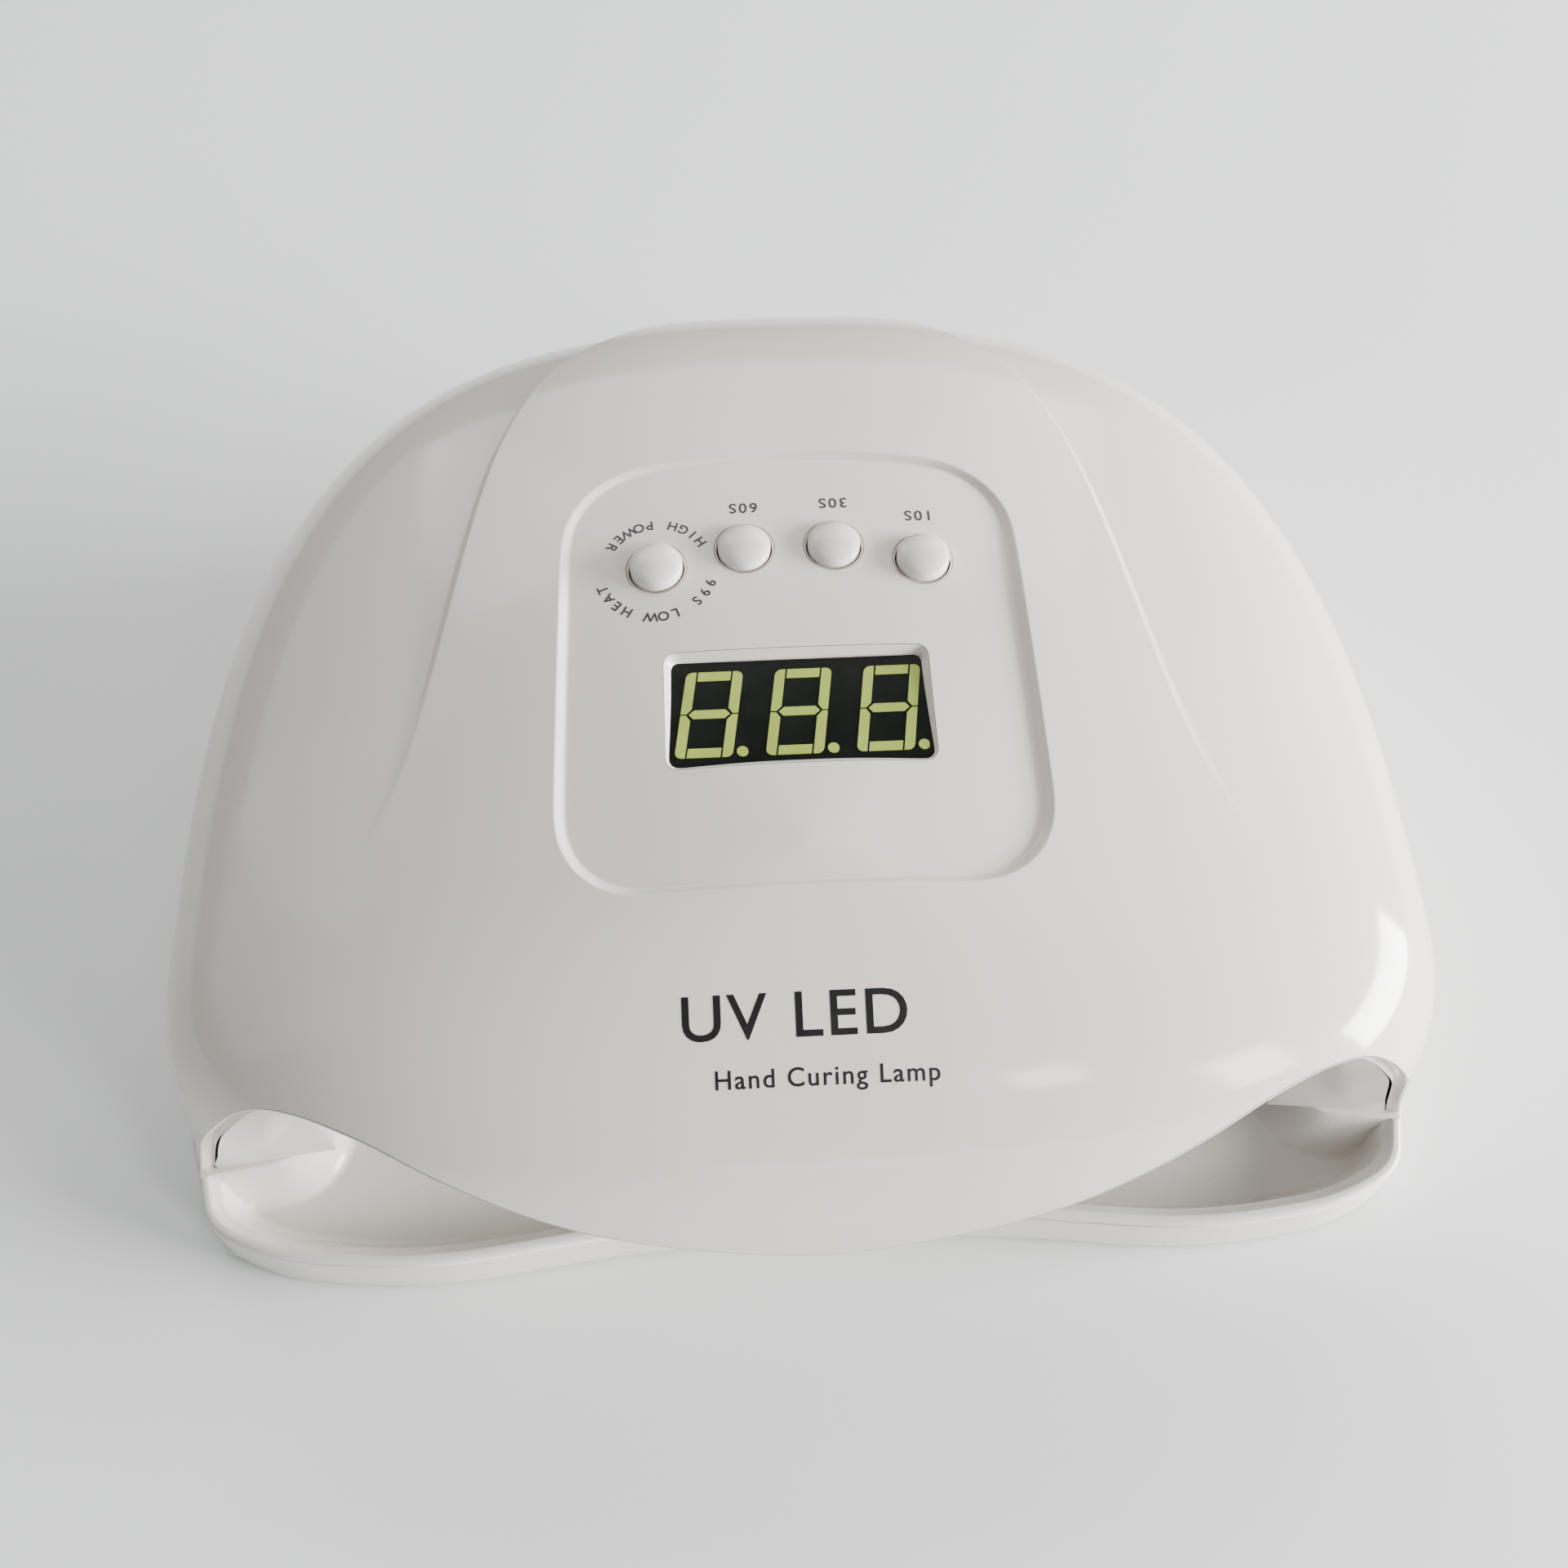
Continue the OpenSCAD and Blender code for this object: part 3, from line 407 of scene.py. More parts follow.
class Skin:
    """Collects faces with a normal for each corner, and makes one mesh of them."""
    def __init__(self):
        self.points, self.normals, self.faces = [], [], []
        self.count = 0

    def patch(self, points, normals, tris, flip=False):
        tris = np.asarray(tris)
        if flip:
            tris, normals = tris[:, ::-1], -normals
        self.points.append(points)
        self.normals.append(normals)
        self.faces.extend((tris + self.count).tolist())
        self.count += len(points)

    def strip(self, rings, closed=True, flip=False, first=None, last=None):
        """Quads between rings of points. first and last are the normals of the end rings."""
        g = np.asarray(rings, float)
        along = np.roll(g, -1, 1) - np.roll(g, 1, 1) if closed else np.gradient(g, axis=1)
        across = np.gradient(g, axis=0)
        n = np.cross(along, across)
        size = np.linalg.norm(n, axis=-1)[..., None]
        n = n / np.maximum(size, 1e-12)
        if flip:
            n = -n
        if first is not None:
            n[0] = first
        if last is not None:
            n[-1] = last
        m, k = g.shape[:2]
        quads = []
        for i in range(m - 1):
            for j in range(k if closed else k - 1):
                a, b = i * k + j, i * k + (j + 1) % k
                quads.append([a, b, b + k, a + k] if not flip else [a, a + k, b + k, b])
        self.points.append(g.reshape(-1, 3))
        self.normals.append(n.reshape(-1, 3))
        self.faces.extend([[v + self.count for v in q] for q in quads])
        self.count += m * k

    def mesh(self, name):
        pts = np.vstack(self.points)
        nrm = np.vstack(self.normals)
        keys, index = np.unique(np.round(pts, 4), axis=0, return_inverse=True)
        index = index.reshape(-1)
        faces, corner = [], []
        for f in self.faces:
            ids = [int(index[v]) for v in f]
            kept = [k for k in range(len(ids)) if ids[k] != ids[k - 1]]
            if len({ids[k] for k in kept}) < 3:
                continue
            faces.append([ids[k] for k in kept])
            corner.extend(nrm[f[k]] for k in kept)
        data = bpy.data.meshes.new(name)
        data.from_pydata((keys * MM).tolist(), [], faces)
        data.polygons.foreach_set("use_smooth", [True] * len(data.polygons))
        data.normals_split_custom_set([tuple(n) for n in corner])
        return data


def place_in_scene(name, data):
    obj = bpy.data.objects.new(name, data)
    bpy.context.scene.collection.objects.link(obj)
    return obj


def make(name, data, body, slot, replaces=(), look=None):
    """A piece from a mesh: it rides on a body and wears the material of its slot, or the look given."""
    obj = place_in_scene(name, data)
    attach(obj, body)
    if replaces:
        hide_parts(*replaces)
    data.materials.clear()
    data.materials.append(look or MATERIALS[slot])


def mesh_of(bm, name):
    """A mesh from a bmesh, which is freed."""
    data = bpy.data.meshes.new(name)
    bm.to_mesh(data)
    bm.free()
    return data


def applied(obj):
    """The mesh of an object as it looks with its modifiers."""
    return bpy.data.meshes.new_from_object(obj.evaluated_get(bpy.context.evaluated_depsgraph_get()))


def board_point(x, t, n):
    """Point in the tilted frame of the control board."""
    x, t, n = np.broadcast_arrays(np.asarray(x, float), t, n)
    c, s = math.cos(BOARD_TILT), math.sin(BOARD_TILT)
    return np.stack([x, BOARD_Y + t * c - n * s, BOARD_Z + t * s + n * c], -1)


BOARD_UP = np.array([0, -math.sin(BOARD_TILT), math.cos(BOARD_TILT)])


# ---- Upper shell ----
def edge_angles():
    """Plan angles round the housing, closer together near the lip's corners."""
    t = np.linspace(0, 1, 150)
    front = CORNER * (1 - (1 - t) ** 1.5)
    rear = CORNER + (2 * math.pi - 2 * CORNER) * np.linspace(0, 1, 340)[1:-1]
    return np.concatenate([front, rear, -front[1:][::-1]])


HOLE_EASE = 0.45           # rounding of a button hole's edge
BEVEL = 1.1                # width of the sloping frame round the display window
# The bevel from its outer edge down into the window: share of its width left, and depth.
BEVEL_PROFILE = [(1, 0.0), (0.86, 0.06), (0.66, 0.24), (0.3, 0.72), (0.12, 0.95), (0, 1.25), (0, 2.2)]
WINDOW_SHIFT = 0.75        # the window sits this far above the middle of the digits


def hole_rings():
    """For each hole: plan loop on the surface, and rings down its wall, as board-frame points."""
    out = []
    turns = np.radians([0, 22.5, 45, 67.5, 90])
    for bx, bt in BUTTONS.values():
        top = circle(bx, bt, HOLE_R + HOLE_EASE, 64)
        rings = [(circle(bx, bt, HOLE_R + HOLE_EASE * (1 - math.sin(t)), 64),
                  HOLE_EASE * (1 - math.cos(t))) for t in turns]
        rings.append((circle(bx, bt, HOLE_R, 64), 2.2))
        out.append((top, rings))
    def window(grow):
        return rounded_box(WINDOW_W + 2 * grow, WINDOW_H + 2 * grow, WINDOW_CORNER + grow * 0.6, 0.7)
    n = len(window(0))
    def window_ring(share):
        p = resample(window(BEVEL * share), 0.05, True)
        idx = (np.arange(n) * len(p) / n).astype(int)
        return p[idx] + [0, DISPLAY_AT + WINDOW_SHIFT]
    out.append((window_ring(1), [(window_ring(share), depth) for share, depth in BEVEL_PROFILE]))
    return out


EDGE_R, INNER_EDGE_R = 0.7, 0.35     # rounding of the free edge, outside and inside


def shell_guides(edge, reach):
    """Lines that the shell's mesh follows: along its edge, the panel's wall and the crease."""
    guides = [(edge * (1 - d / reach), True) for d in (1.4, 2.6)]
    inward = normals_of(panel, True)
    for d in (-0.35, 0, 0.22, 0.42, 0.75, 1.08, 1.28, 1.5, 1.85):
        guides.append((flat_at(panel + inward * d), True))
    out = -normals_of(crease, False)
    for d in (-1.4, -0.9, -0.55, -0.25, 0.1, 0.4, 0.75, 1.2, 2.2, 4.0):
        guides.append((flat_at(crease + out * d), False))
    return guides


def shell_inside(q):
    return shell_point(q, WALL)


def edge_rings(start, edge, nrm):
    """Rings round the free edge: rounded outside, flat below, rounded a little inside."""
    up_out, up_in = shell_point(start), shell_inside(start)
    down = shell_point(edge) - up_out
    down /= np.linalg.norm(down, axis=1)[:, None]
    across = -nrm
    rings = [up_out + down * EDGE_R * math.sin(t) + across * EDGE_R * (1 - math.cos(t))
             for t in np.radians([0, 22.5, 45, 67.5, 90])]
    thick = np.abs(((up_in - up_out) * across).sum(1))[:, None]
    for t in np.radians([0, 30, 60, 90]):
        rings.append(up_out + across * (thick - INNER_EDGE_R + INNER_EDGE_R * math.sin(t))
                     + down * (EDGE_R - INNER_EDGE_R * (1 - math.cos(t))))
    return rings + [up_in]


def hole_wall(q, levels):
    """Rings from a hole's loop on the surface down to the shell's inner skin."""
    top = shell_point(q)
    wall = []
    for plan, depth in levels:
        shift = plan - levels[0][0]
        move = board_point(shift[:, 0], shift[:, 1], 0.0) - board_point(0.0, 0.0, 0.0)
        wall.append(top + move - BOARD_UP * depth)
    return wall + [shell_inside(q)]


def build_shell():
    """The glossy outer shell with its panel, crease, button holes and display window."""
    a = edge_angles()
    edge = flat_of(a, edge_u(a))
    reach = np.linalg.norm(edge, axis=1)[:, None]
    start = edge * (1 - EDGE_R / reach)
    holes = hole_rings()
    hole_flat = [flat_at(board_point(top[:, 0], top[:, 1], 0.0)[:, :2]) for top, _ in holes]
    flat, tris = triangulate(start, hole_flat, shell_guides(edge, reach), 2.6)
    skin = Skin()
    skin.patch(shell_point(flat), normal_of(shell_point, flat), tris)
    skin.patch(shell_inside(flat), normal_of(shell_inside, flat), tris, flip=True)
    nrm = normal_of(shell_point, start)
    skin.strip(edge_rings(start, edge, nrm), first=nrm)
    for q, (_, levels) in zip(hole_flat, holes):
        skin.strip(hole_wall(q, levels), flip=True, first=normal_of(shell_point, q))
    make("upper_shell_skin", skin.mesh("upper_shell_skin"), "housing", "gloss_white", ["upper_shell"])


# ---- Inner liner ----
LINER_GAP, LINER_T, FLANGE_T = 0.4, 1.4, 1.6
VAULT_W, VAULT_FRONT, VAULT_REAR, VAULT_H = 156.0, 38.0, 105.0, 50.5
VAULT_POWER, VAULT_SHOULDER = 6.0, 2.5
LIP_SHELF, LIP_BLEND = 0.6, 16.0
LED_R, SENSOR_R = 2.5, 5.0
CEILING_LEDS = [(x, y) for x in (-38, -14, 14, 38) for y in (-34, -12, 10)]
SIDE_LEDS = [(y, z) for y in (-38, -25, -12) for z in (26, 38)]
REAR_LEDS = [(x, z) for x in (-28, -10, 10, 28) for z in (25, 36)]
MAGNET_ANGLES, MAGNET_INSET, MAGNET_R = (106, 147, 213, 254), 11.0, 5.0
SCREW_ANGLES, SCREW_INSET, SCREW_HOLE_R = (92, 126, 166, 194, 234, 268), 8.5, 3.2


def foot_point(degrees, off):
    a = np.radians(np.atleast_1d(np.asarray(degrees, float)))
    return dome(a, edge_u(a, off), off)[:, :2]


def vault_reach(w):
    return np.maximum(0, 1 - np.minimum(1, w) ** VAULT_POWER) ** (1 / VAULT_SHOULDER)


VAULT_SHARES = 1 - np.linspace(1, 0, 8001) ** 2.5
VAULT_LENGTHS = VAULT_H * VAULT_SHARES + VAULT_W / 2 * (1 - vault_reach(VAULT_SHARES))


def vault(a, w, off):
    """Point of the vault at plan angle a and height share w, moved outward by off."""
    r = vault_reach(w) * plan_radius(a, VAULT_W / 2 + off, VAULT_FRONT + off, VAULT_REAR + off)
    return np.stack([r * np.sin(a), DOME_Y - r * np.cos(a), BASE_Z + w * (VAULT_H + off)], -1)


def liner_rings(a, outside, rows):
    """Rings of the liner: its edge at the lip or foot, then up and in over the vault."""
    plain = dome(a, edge_u(a, WALL + LINER_GAP), WALL + LINER_GAP)
    lip = np.minimum(1, (plain[:, 2] - BASE_Z) / 8)
    inset = WALL + LINER_GAP + (1 - outside) * lip * LINER_T
    side = DOME_W / 2 - inset
    edge = np.empty_like(plain)
    for i in range(len(a)):
        one = a[i:i + 1]
        edge[i] = dome(one, edge_u(one, inset[i]), inset[i])[0]
    start = edge + np.outer(outside * (1 - lip) * FLANGE_T, [0, 0, 1])
    off = outside * LINER_T
    w0 = (edge[:, 2] + outside * FLANGE_T - BASE_Z) / (VAULT_H + off)
    first = vault(a, w0, off)
    l0 = np.interp(w0, VAULT_SHARES, VAULT_LENGTHS)
    l1 = VAULT_LENGTHS[-1]
    reach = (start - first) * [1, 1, 0]
    rings = []
    for t in rows:
        l = (l1 - l0) * t
        keep = lip * LIP_SHELF * np.maximum(0, 1 - l / LIP_BLEND) ** 1.5
        rings.append(vault(a, np.interp(l0 + l, VAULT_LENGTHS, VAULT_SHARES), off) + reach * keep[:, None])
    shelf = [start + (rings[0] - start) * s for s in (0, 0.3, 0.65)]
    return shelf + rings


def cylinders(specs, segments=40):
    """One mesh of closed cylinders: (centre, axis, radius, length) each."""
    bm = bmesh.new()
    for centre, axis, radius, length in specs:
        turn = Vector(axis).to_track_quat("Z", "Y").to_matrix().to_4x4()
        place = Matrix.Translation(Vector(centre) * MM) @ turn
        bmesh.ops.create_cone(bm, cap_ends=True, segments=segments, radius1=radius * MM,
                              radius2=radius * MM, depth=length * MM, matrix=place)
    return mesh_of(bm, "cutter")


def cut(data, specs):
    """The mesh with closed cylinders cut out of it."""
    tool = place_in_scene("cutter", cylinders(specs))
    obj = place_in_scene("uncut", data)
    mod = obj.modifiers.new("cut", "BOOLEAN")
    mod.operation, mod.solver, mod.object = "DIFFERENCE", "EXACT", tool
    done = applied(obj)
    for used in (obj, tool):
        bpy.data.objects.remove(used)
    return done


def smooth_by_angle(data, degrees):
    data.polygons.foreach_set("use_smooth", [True] * len(data.polygons))
    data.set_sharp_from_angle(angle=math.radians(degrees))


def grid_faces(rings, count, base, flip):
    out = []
    for r in range(rings - 1):
        for c in range(count):
            a, b = base + r * count + c, base + r * count + (c + 1) % count
            quad = [a, b, b + count, a + count]
            out.append(quad[::-1] if flip else quad)
    return out


def lathe(profile, places, segments=48, up=(0, 0, 1)):
    """Closed rings of revolution from a closed (radius, height) profile, one at each place."""
    turn = np.array(Vector(up).to_track_quat("Z", "Y").to_matrix())
    r, z = np.array(profile, float).T
    t = 2 * math.pi * np.arange(segments)[:, None] / segments
    shape = np.stack([r * np.cos(t), r * np.sin(t), z + 0 * t], -1) @ turn.T
    bm = bmesh.new()
    for place in places:
        ids = [[bm.verts.new(v) for v in row] for row in (shape + place) * MM]
        for row, after in zip(ids, ids[1:] + ids[:1]):
            for j in range(len(row)):
                bm.faces.new([row[j - 1], after[j - 1], after[j], row[j]])
    bmesh.ops.remove_doubles(bm, verts=bm.verts, dist=1e-6)
    bmesh.ops.recalc_face_normals(bm, faces=bm.faces)
    return mesh_of(bm, "lathe")


def liner_mesh(outer, inner):
    """Closed mesh of the liner from its outer and inner rings, with a point over each middle."""
    m, n = len(outer), len(outer[0])
    tops = [[[0, DOME_Y, BASE_Z + VAULT_H + LINER_T]], [[0, DOME_Y, BASE_Z + VAULT_H]]]
    verts = np.vstack(outer + inner + tops)
    faces = grid_faces(m, n, 0, False) + grid_faces(m, n, n * m, True)
    top_o, top_i = 2 * n * m, 2 * n * m + 1
    last_o, last_i = (m - 1) * n, (2 * m - 1) * n
    for c in range(n):
        d = (c + 1) % n
        faces += [[last_o + c, last_o + d, top_o], [last_i + d, last_i + c, top_i]]
        faces.append([c, n * m + c, n * m + d, d])
    data = bpy.data.meshes.new("inner_liner_skin")
    data.from_pydata((verts * MM).tolist(), [], faces)
    return data


def build_liner():
    """The inner liner with its holes for LEDs, sensor, magnets and screws, and their cups."""
    a = edge_angles()
    rows = np.concatenate([np.linspace(0, 0.16, 9)[:-1], np.linspace(0.16, 1, 30)[:-1], [0.985]])
    data = liner_mesh(liner_rings(a, 1.0, rows), liner_rings(a, 0.0, rows))
    magnets, screws = foot_point(MAGNET_ANGLES, MAGNET_INSET), foot_point(SCREW_ANGLES, SCREW_INSET)
    led, magnet = LED_R + 0.5, MAGNET_R + 0.05
    specs = [((x, y, 60), (0, 0, 1), led, 14) for x, y in CEILING_LEDS]
    specs += [((s * 77, y, z), (1, 0, 0), led, 14) for y, z in SIDE_LEDS for s in (-1, 1)]
    specs += [((x, 59, z), (0, 1, 0), led, 14) for x, z in REAR_LEDS]
    specs.append(((0, -52, 60), (0, 0, 1), SENSOR_R + 0.1, 12))
    specs += [((*p, BASE_Z), (0, 0, 1), magnet, 5) for p in magnets]
    specs += [((*p, BASE_Z), (0, 0, 1), SCREW_HOLE_R, 5) for p in screws]
    data = cut(data, specs)
    smooth_by_angle(data, 32)
    make("inner_liner_skin", data, "housing", "satin_white",
         ["liner_ceiling", "liner_left", "liner_right", "liner_rear", "liner_visor"])
    cup = [(magnet, 0.05), (6.3, 0.05), (6.5, 0.25), (6.5, 3.7), (6.2, 4), (0, 4), (0, 3.3),
           (magnet, 3.3)]
    seat = [(SCREW_HOLE_R, 0.05), (4.25, 0.05), (4.4, 0.2), (4.4, 4.3), (4.2, 4.5), (1.6, 4.5),
            (1.6, 2.6), (SCREW_HOLE_R, 2.6)]
    for name, shape, spots in (("magnet_cups", cup, magnets), ("screw_cups", seat, screws)):
        part = lathe(shape, [(*p, BASE_Z) for p in spots])
        smooth_by_angle(part, 40)
        make(name, part, "housing", "satin_white")


# ---- Tray ----
TRAY_FRONT = np.array([[0, -73], [30, -74.3], [58, -77.3], [78, -76.2], [89, -73.3], [96, -68.6]])
TRAY_PROUD, WELL_GAP = 0.5, 1.5
# The platform's front edge runs in under the liner's foot, and turns back along the vault.
PLATFORM_CORNER = [(104.0, -62.6), (96.0, -61.4), (89.0, -60.4), (84.6, -59.4), (81.6, -57.2),
                   (80.0, -54.0)]
PLATFORM_SIDE = (79.5, -50.0)
FOOT_GAP, FLOOR_Z, RIM_Z = 0.6, 2.6, 10.6
FEET = [(-58, -58), (58, -58), (-50, 32), (50, 32)]
POCKET_R, PLATE_DEEP = 7.075, 1      # pockets of the strike plates
FOOT_R, FOOT_POCKET_Z = 6.075, 1.2   # pockets of the rubber feet
POCKET_EDGE = 0.025                  # half the width of a pocket's steep wall
RIB_STEP, RIB_T, RIB_H, RIB_Z = 12, 2, 9, 5.1     # degrees apart, thickness, height, middle height


def tray_loop():
    """Outline of the tray, counterclockwise from the middle of the front."""
    span = 360 - 2 * math.degrees(CORNER)
    foot = foot_point(math.degrees(CORNER) + span * np.linspace(0, 1, 181), -TRAY_PROUD)
    n = 12
    path = smooth(np.vstack([[[-30, -74.3]], TRAY_FRONT, foot[:1], foot[6:7]]), n)
    front = path[n:-n - 1]
    loop = np.vstack([front, foot, front[1:][::-1] * [-1, 1]])
    return relax(resample(loop, 1.0, True), 3, True)


def well_loop():
    """Edge of the raised platform, from its front left round the well; the platform is on its left."""
    a = np.radians(np.linspace(60, 300, 481))
    r = plan_radius(a, VAULT_W / 2 + WELL_GAP, 60.0, VAULT_REAR + WELL_GAP)
    side = np.stack([r * np.sin(a), DOME_Y - r * np.cos(a)], -1)
    rear = side[side[:, 1] > PLATFORM_SIDE[1]]
    right = smooth(np.array(PLATFORM_CORNER + [PLATFORM_SIDE]), 8)
    rear = rear[np.argsort(-np.arctan2(rear[:, 0], rear[:, 1] - DOME_Y))]
    path = np.vstack([right, rear, right[::-1] * [-1, 1]])
    return resample(path, 1.2, False)[::-1]


tray = tray_loop()
tray_ruler = Ruler(tray, True)
well = well_loop()
well_ruler = Ruler(well, False)


def slope(t, low, high):
    """0 to 1 with a rounded start and end of these widths, and a straight middle."""
    t = np.clip(t, 0, 1)
    area = 1 - low / 2 - high / 2
    rise = np.where(t < low, t**2 / (2 * low), t - low / 2)
    rise = np.where(t > 1 - high, area - (1 - t) ** 2 / (2 * high), rise)
    return rise / area


def near(xy, p, r):
    """Whether each plan point lies within r of p."""
    return np.hypot(xy[..., 0] - p[0], xy[..., 1] - p[1]) < r


def tray_top(xy):
    """Height of the tray's upper face over a plan point."""
    d, _ = tray_ruler(xy)
    e, _ = well_ruler(xy)
    back = fade((xy[..., 1] + 66) / 5)
    crest = RIM_Z + (BASE_Z - RIM_Z) * back
    edge = np.clip(1 - d / 1.0, 0, 1)
    rim = crest - 0.9 * (1 - np.sqrt(np.maximum(0, 1 - edge**2)))
    rim = rim - 1.0 * slope((d - 1.3) / 1.7, 0.3, 0.3)
    rim = rim - (crest - 1.0 - FLOOR_Z) * slope((d - 2.9) / 4.2, 0.1, 0.65)
    stand = FLOOR_Z + (BASE_Z - FLOOR_Z) * slope((e + 4.6) / 4.75, 0.6, 0.08)
    stand = stand - 0.9 * (1 - np.sqrt(np.maximum(0, 1 - np.clip(1 - d / 0.6, 0, 1) ** 2)))
    z = np.maximum(rim, stand)
    for p in foot_point(MAGNET_ANGLES, MAGNET_INSET):
        z = np.where(near(xy, p, POCKET_R), BASE_Z - PLATE_DEEP, z)
    return z


def tray_under(xy):
    """Height of the tray's lower face over a plan point."""
    d, _ = tray_ruler(xy)
    e, _ = well_ruler(xy)
    hollow = np.minimum(d, e)
    z = FOOT_GAP + (BASE_Z - 2 - FOOT_GAP) * np.clip((hollow - 2) / 0.12, 0, 1)
    for p in FEET:
        z = np.where(near(xy, p, FOOT_R), FOOT_POCKET_Z, z)
    return z


def lifted(height):
    return lambda xy: np.concatenate([xy, height(xy)[..., None]], -1)


def build_tray():
    """The tray as one moulding: its upper face, its hollow underside and its outer wall."""
    inward = normals_of(tray, True)
    side = normals_of(well, False)
    guides = [(tray + inward * d, True)
              for d in (0.1, 0.3, 0.6, 1.0, 1.3, 1.8, 2.5, 3.0, 3.5, 4.3, 5.4, 7.2)]
    guides += [(well + side * e, False) for e in (-4.6, -3.6, -2.7, -1.9, -1.2, -0.6, -0.2, 0.0, 0.15)]
    magnets = foot_point(MAGNET_ANGLES, MAGNET_INSET)
    for p in magnets:
        guides += [(circle(*p, POCKET_R + d, 48), True) for d in (POCKET_EDGE, -POCKET_EDGE)]
    flat, tris = triangulate(tray, [], guides, 3.2)
    skin = Skin()
    top = lifted(tray_top)
    skin.patch(top(flat), normal_of(top, flat), tris)
    ring = lambda d: tray + inward * d
    guides = [(ring(d), True) for d in (0.6, 2.0, 2.12)]
    guides += [(well + side * e, False) for e in (2.0, 2.12)]
    for p in FEET:
        guides += [(circle(*p, FOOT_R + d, 48), True) for d in (POCKET_EDGE, -POCKET_EDGE)]
    flat, tris = triangulate(ring(0.5), [], guides, 5.0)
    under = lifted(tray_under)
    skin.patch(under(flat), normal_of(under, flat), tris, flip=True)
    wall = [top(tray)]
    for z in np.linspace(RIM_Z - 1.5, 1.5, 6):
        wall.append(np.concatenate([tray, np.full((len(tray), 1), z)], -1))
    for t in np.radians([22.5, 45, 67.5, 90]):
        z = np.full((len(tray), 1), 1.1 - 0.5 * math.sin(t))
        wall.append(np.concatenate([ring(0.5 * (1 - math.cos(t))), z], -1))
    skin.strip(wall, flip=True, first=normal_of(top, tray))
    make("tray_skin", skin.mesh("tray_skin"), "tray", "gloss_white",
         ["tray_floor", "tray_rim", "tray_platform"], tray_white)


def build_ribs():
    """Stiffening ribs in the hollow under the platform."""
    bm = bmesh.new()
    for degrees in range(90, 271, RIB_STEP):
        a = math.radians(degrees)
        ray = np.array([math.sin(a), -math.cos(a)])
        r = np.linspace(20, 150, 1301)
        pts = np.array([0, DOME_Y]) + r[:, None] * ray
        ok = np.minimum(tray_ruler(pts)[0], well_ruler(pts)[0]) > 1.7
        if not ok.any():
            continue
        lo, hi = r[ok][0], r[ok][-1]
        mid = np.array([0, DOME_Y]) + (lo + hi) / 2 * ray
        place = Matrix.Translation((mid[0] * MM, mid[1] * MM, RIB_Z * MM))
        turn = Matrix.Rotation(a - math.pi / 2, 4, "Z")
        size = Matrix.Diagonal(((hi - lo) * MM, RIB_T * MM, RIB_H * MM, 1))
        made = bmesh.ops.create_cube(bm, size=1, matrix=place @ turn @ size)
        edges = list({e for v in made["verts"] for e in v.link_edges})
        bmesh.ops.bevel(bm, geom=edges, offset=0.25 * MM, segments=1, affect="EDGES")
    make("tray_ribs", mesh_of(bm, "tray_ribs"), "tray", "gloss_white", look=tray_white)


# ---- Buttons ----
def build_caps():
    """Domed caps with a rounded edge, a flange under the panel and a stem."""
    top = [(CAP_R * math.sin(t), 0.55 + 1.25 * math.cos(t) ** 0.9)
           for t in np.linspace(0, math.pi / 2, 15)[:-1]]
    profile = top + [(CAP_R, 0.5), (CAP_R, -2.8), (4.85, -2.8), (5, -2.95), (5, -3.45), (4.85, -3.6),
                     (1.8, -3.6), (1.8, -4.8), (1.6, -5), (0, -5)]
    for name, (x, t) in BUTTONS.items():
        data = lathe(profile, [board_point(x, t, 0.0)], 64, BOARD_UP)
        smooth_by_angle(data, 40)
        make(f"cap_{name}", data, f"button_{name}", "gloss_white", [f"button_cap_{name}"], cap_white)


# ---- Display ----
DIGIT_PITCH, DIGIT_W, DIGIT_H, SLANT = 12.7, 8.1, 13.9, math.tan(math.radians(8.3))
SEG_T, SEG_GAP, SEG_DEEP = 1.45, 0.26, 0.14
DOT_X, DOT_Y, DOT_R = 4.45, 0.77, 0.8
DIGITS_AT = DISPLAY_AT + 0.25


def arc_points(cx, cy, r, t0, t1, n=6):
    return [(cx + r * math.cos(t), cy + r * math.sin(t)) for t in np.linspace(t0, t1, n)]


def digit_outlines():
    """Outlines of the seven bars of a digit and its point, unslanted, about the digit's centre."""
    w, h, t, g = DIGIT_W / 2, DIGIT_H / 2, SEG_T, SEG_GAP
    corner = 0.95
    bar = w - t - g
    across = [(-bar, h - t), (bar, h - t), (bar, h), (-bar, h)]
    tip = 0.55
    # Upper right bar: rounded outer corner on top, cut below to let the middle bar's point in.
    upright = [(w, g / 2), (w, h - corner)]
    upright += arc_points(w - corner, h - corner, corner, 0, math.pi / 2)
    upright += [(w - t, h), (w - t, t / 2 + g * 0.9), (w - t + 0.1 + tip, g / 2)]
    half = t / 2 * 0.95
    reach = w - t + tip - g
    middle = [(-reach, 0), (-reach + half, -half), (reach - half, -half), (reach, 0),
              (reach - half, half), (-reach + half, half)]
    flip_x = lambda shape: [(-x, y) for x, y in shape][::-1]
    flip_y = lambda shape: [(x, -y) for x, y in shape][::-1]
    bars = [across, flip_y(across), upright, flip_x(upright), flip_y(upright),
            flip_x(flip_y(upright)), middle]
    return bars, circle(DOT_X, DOT_Y - h, DOT_R, 28).tolist()


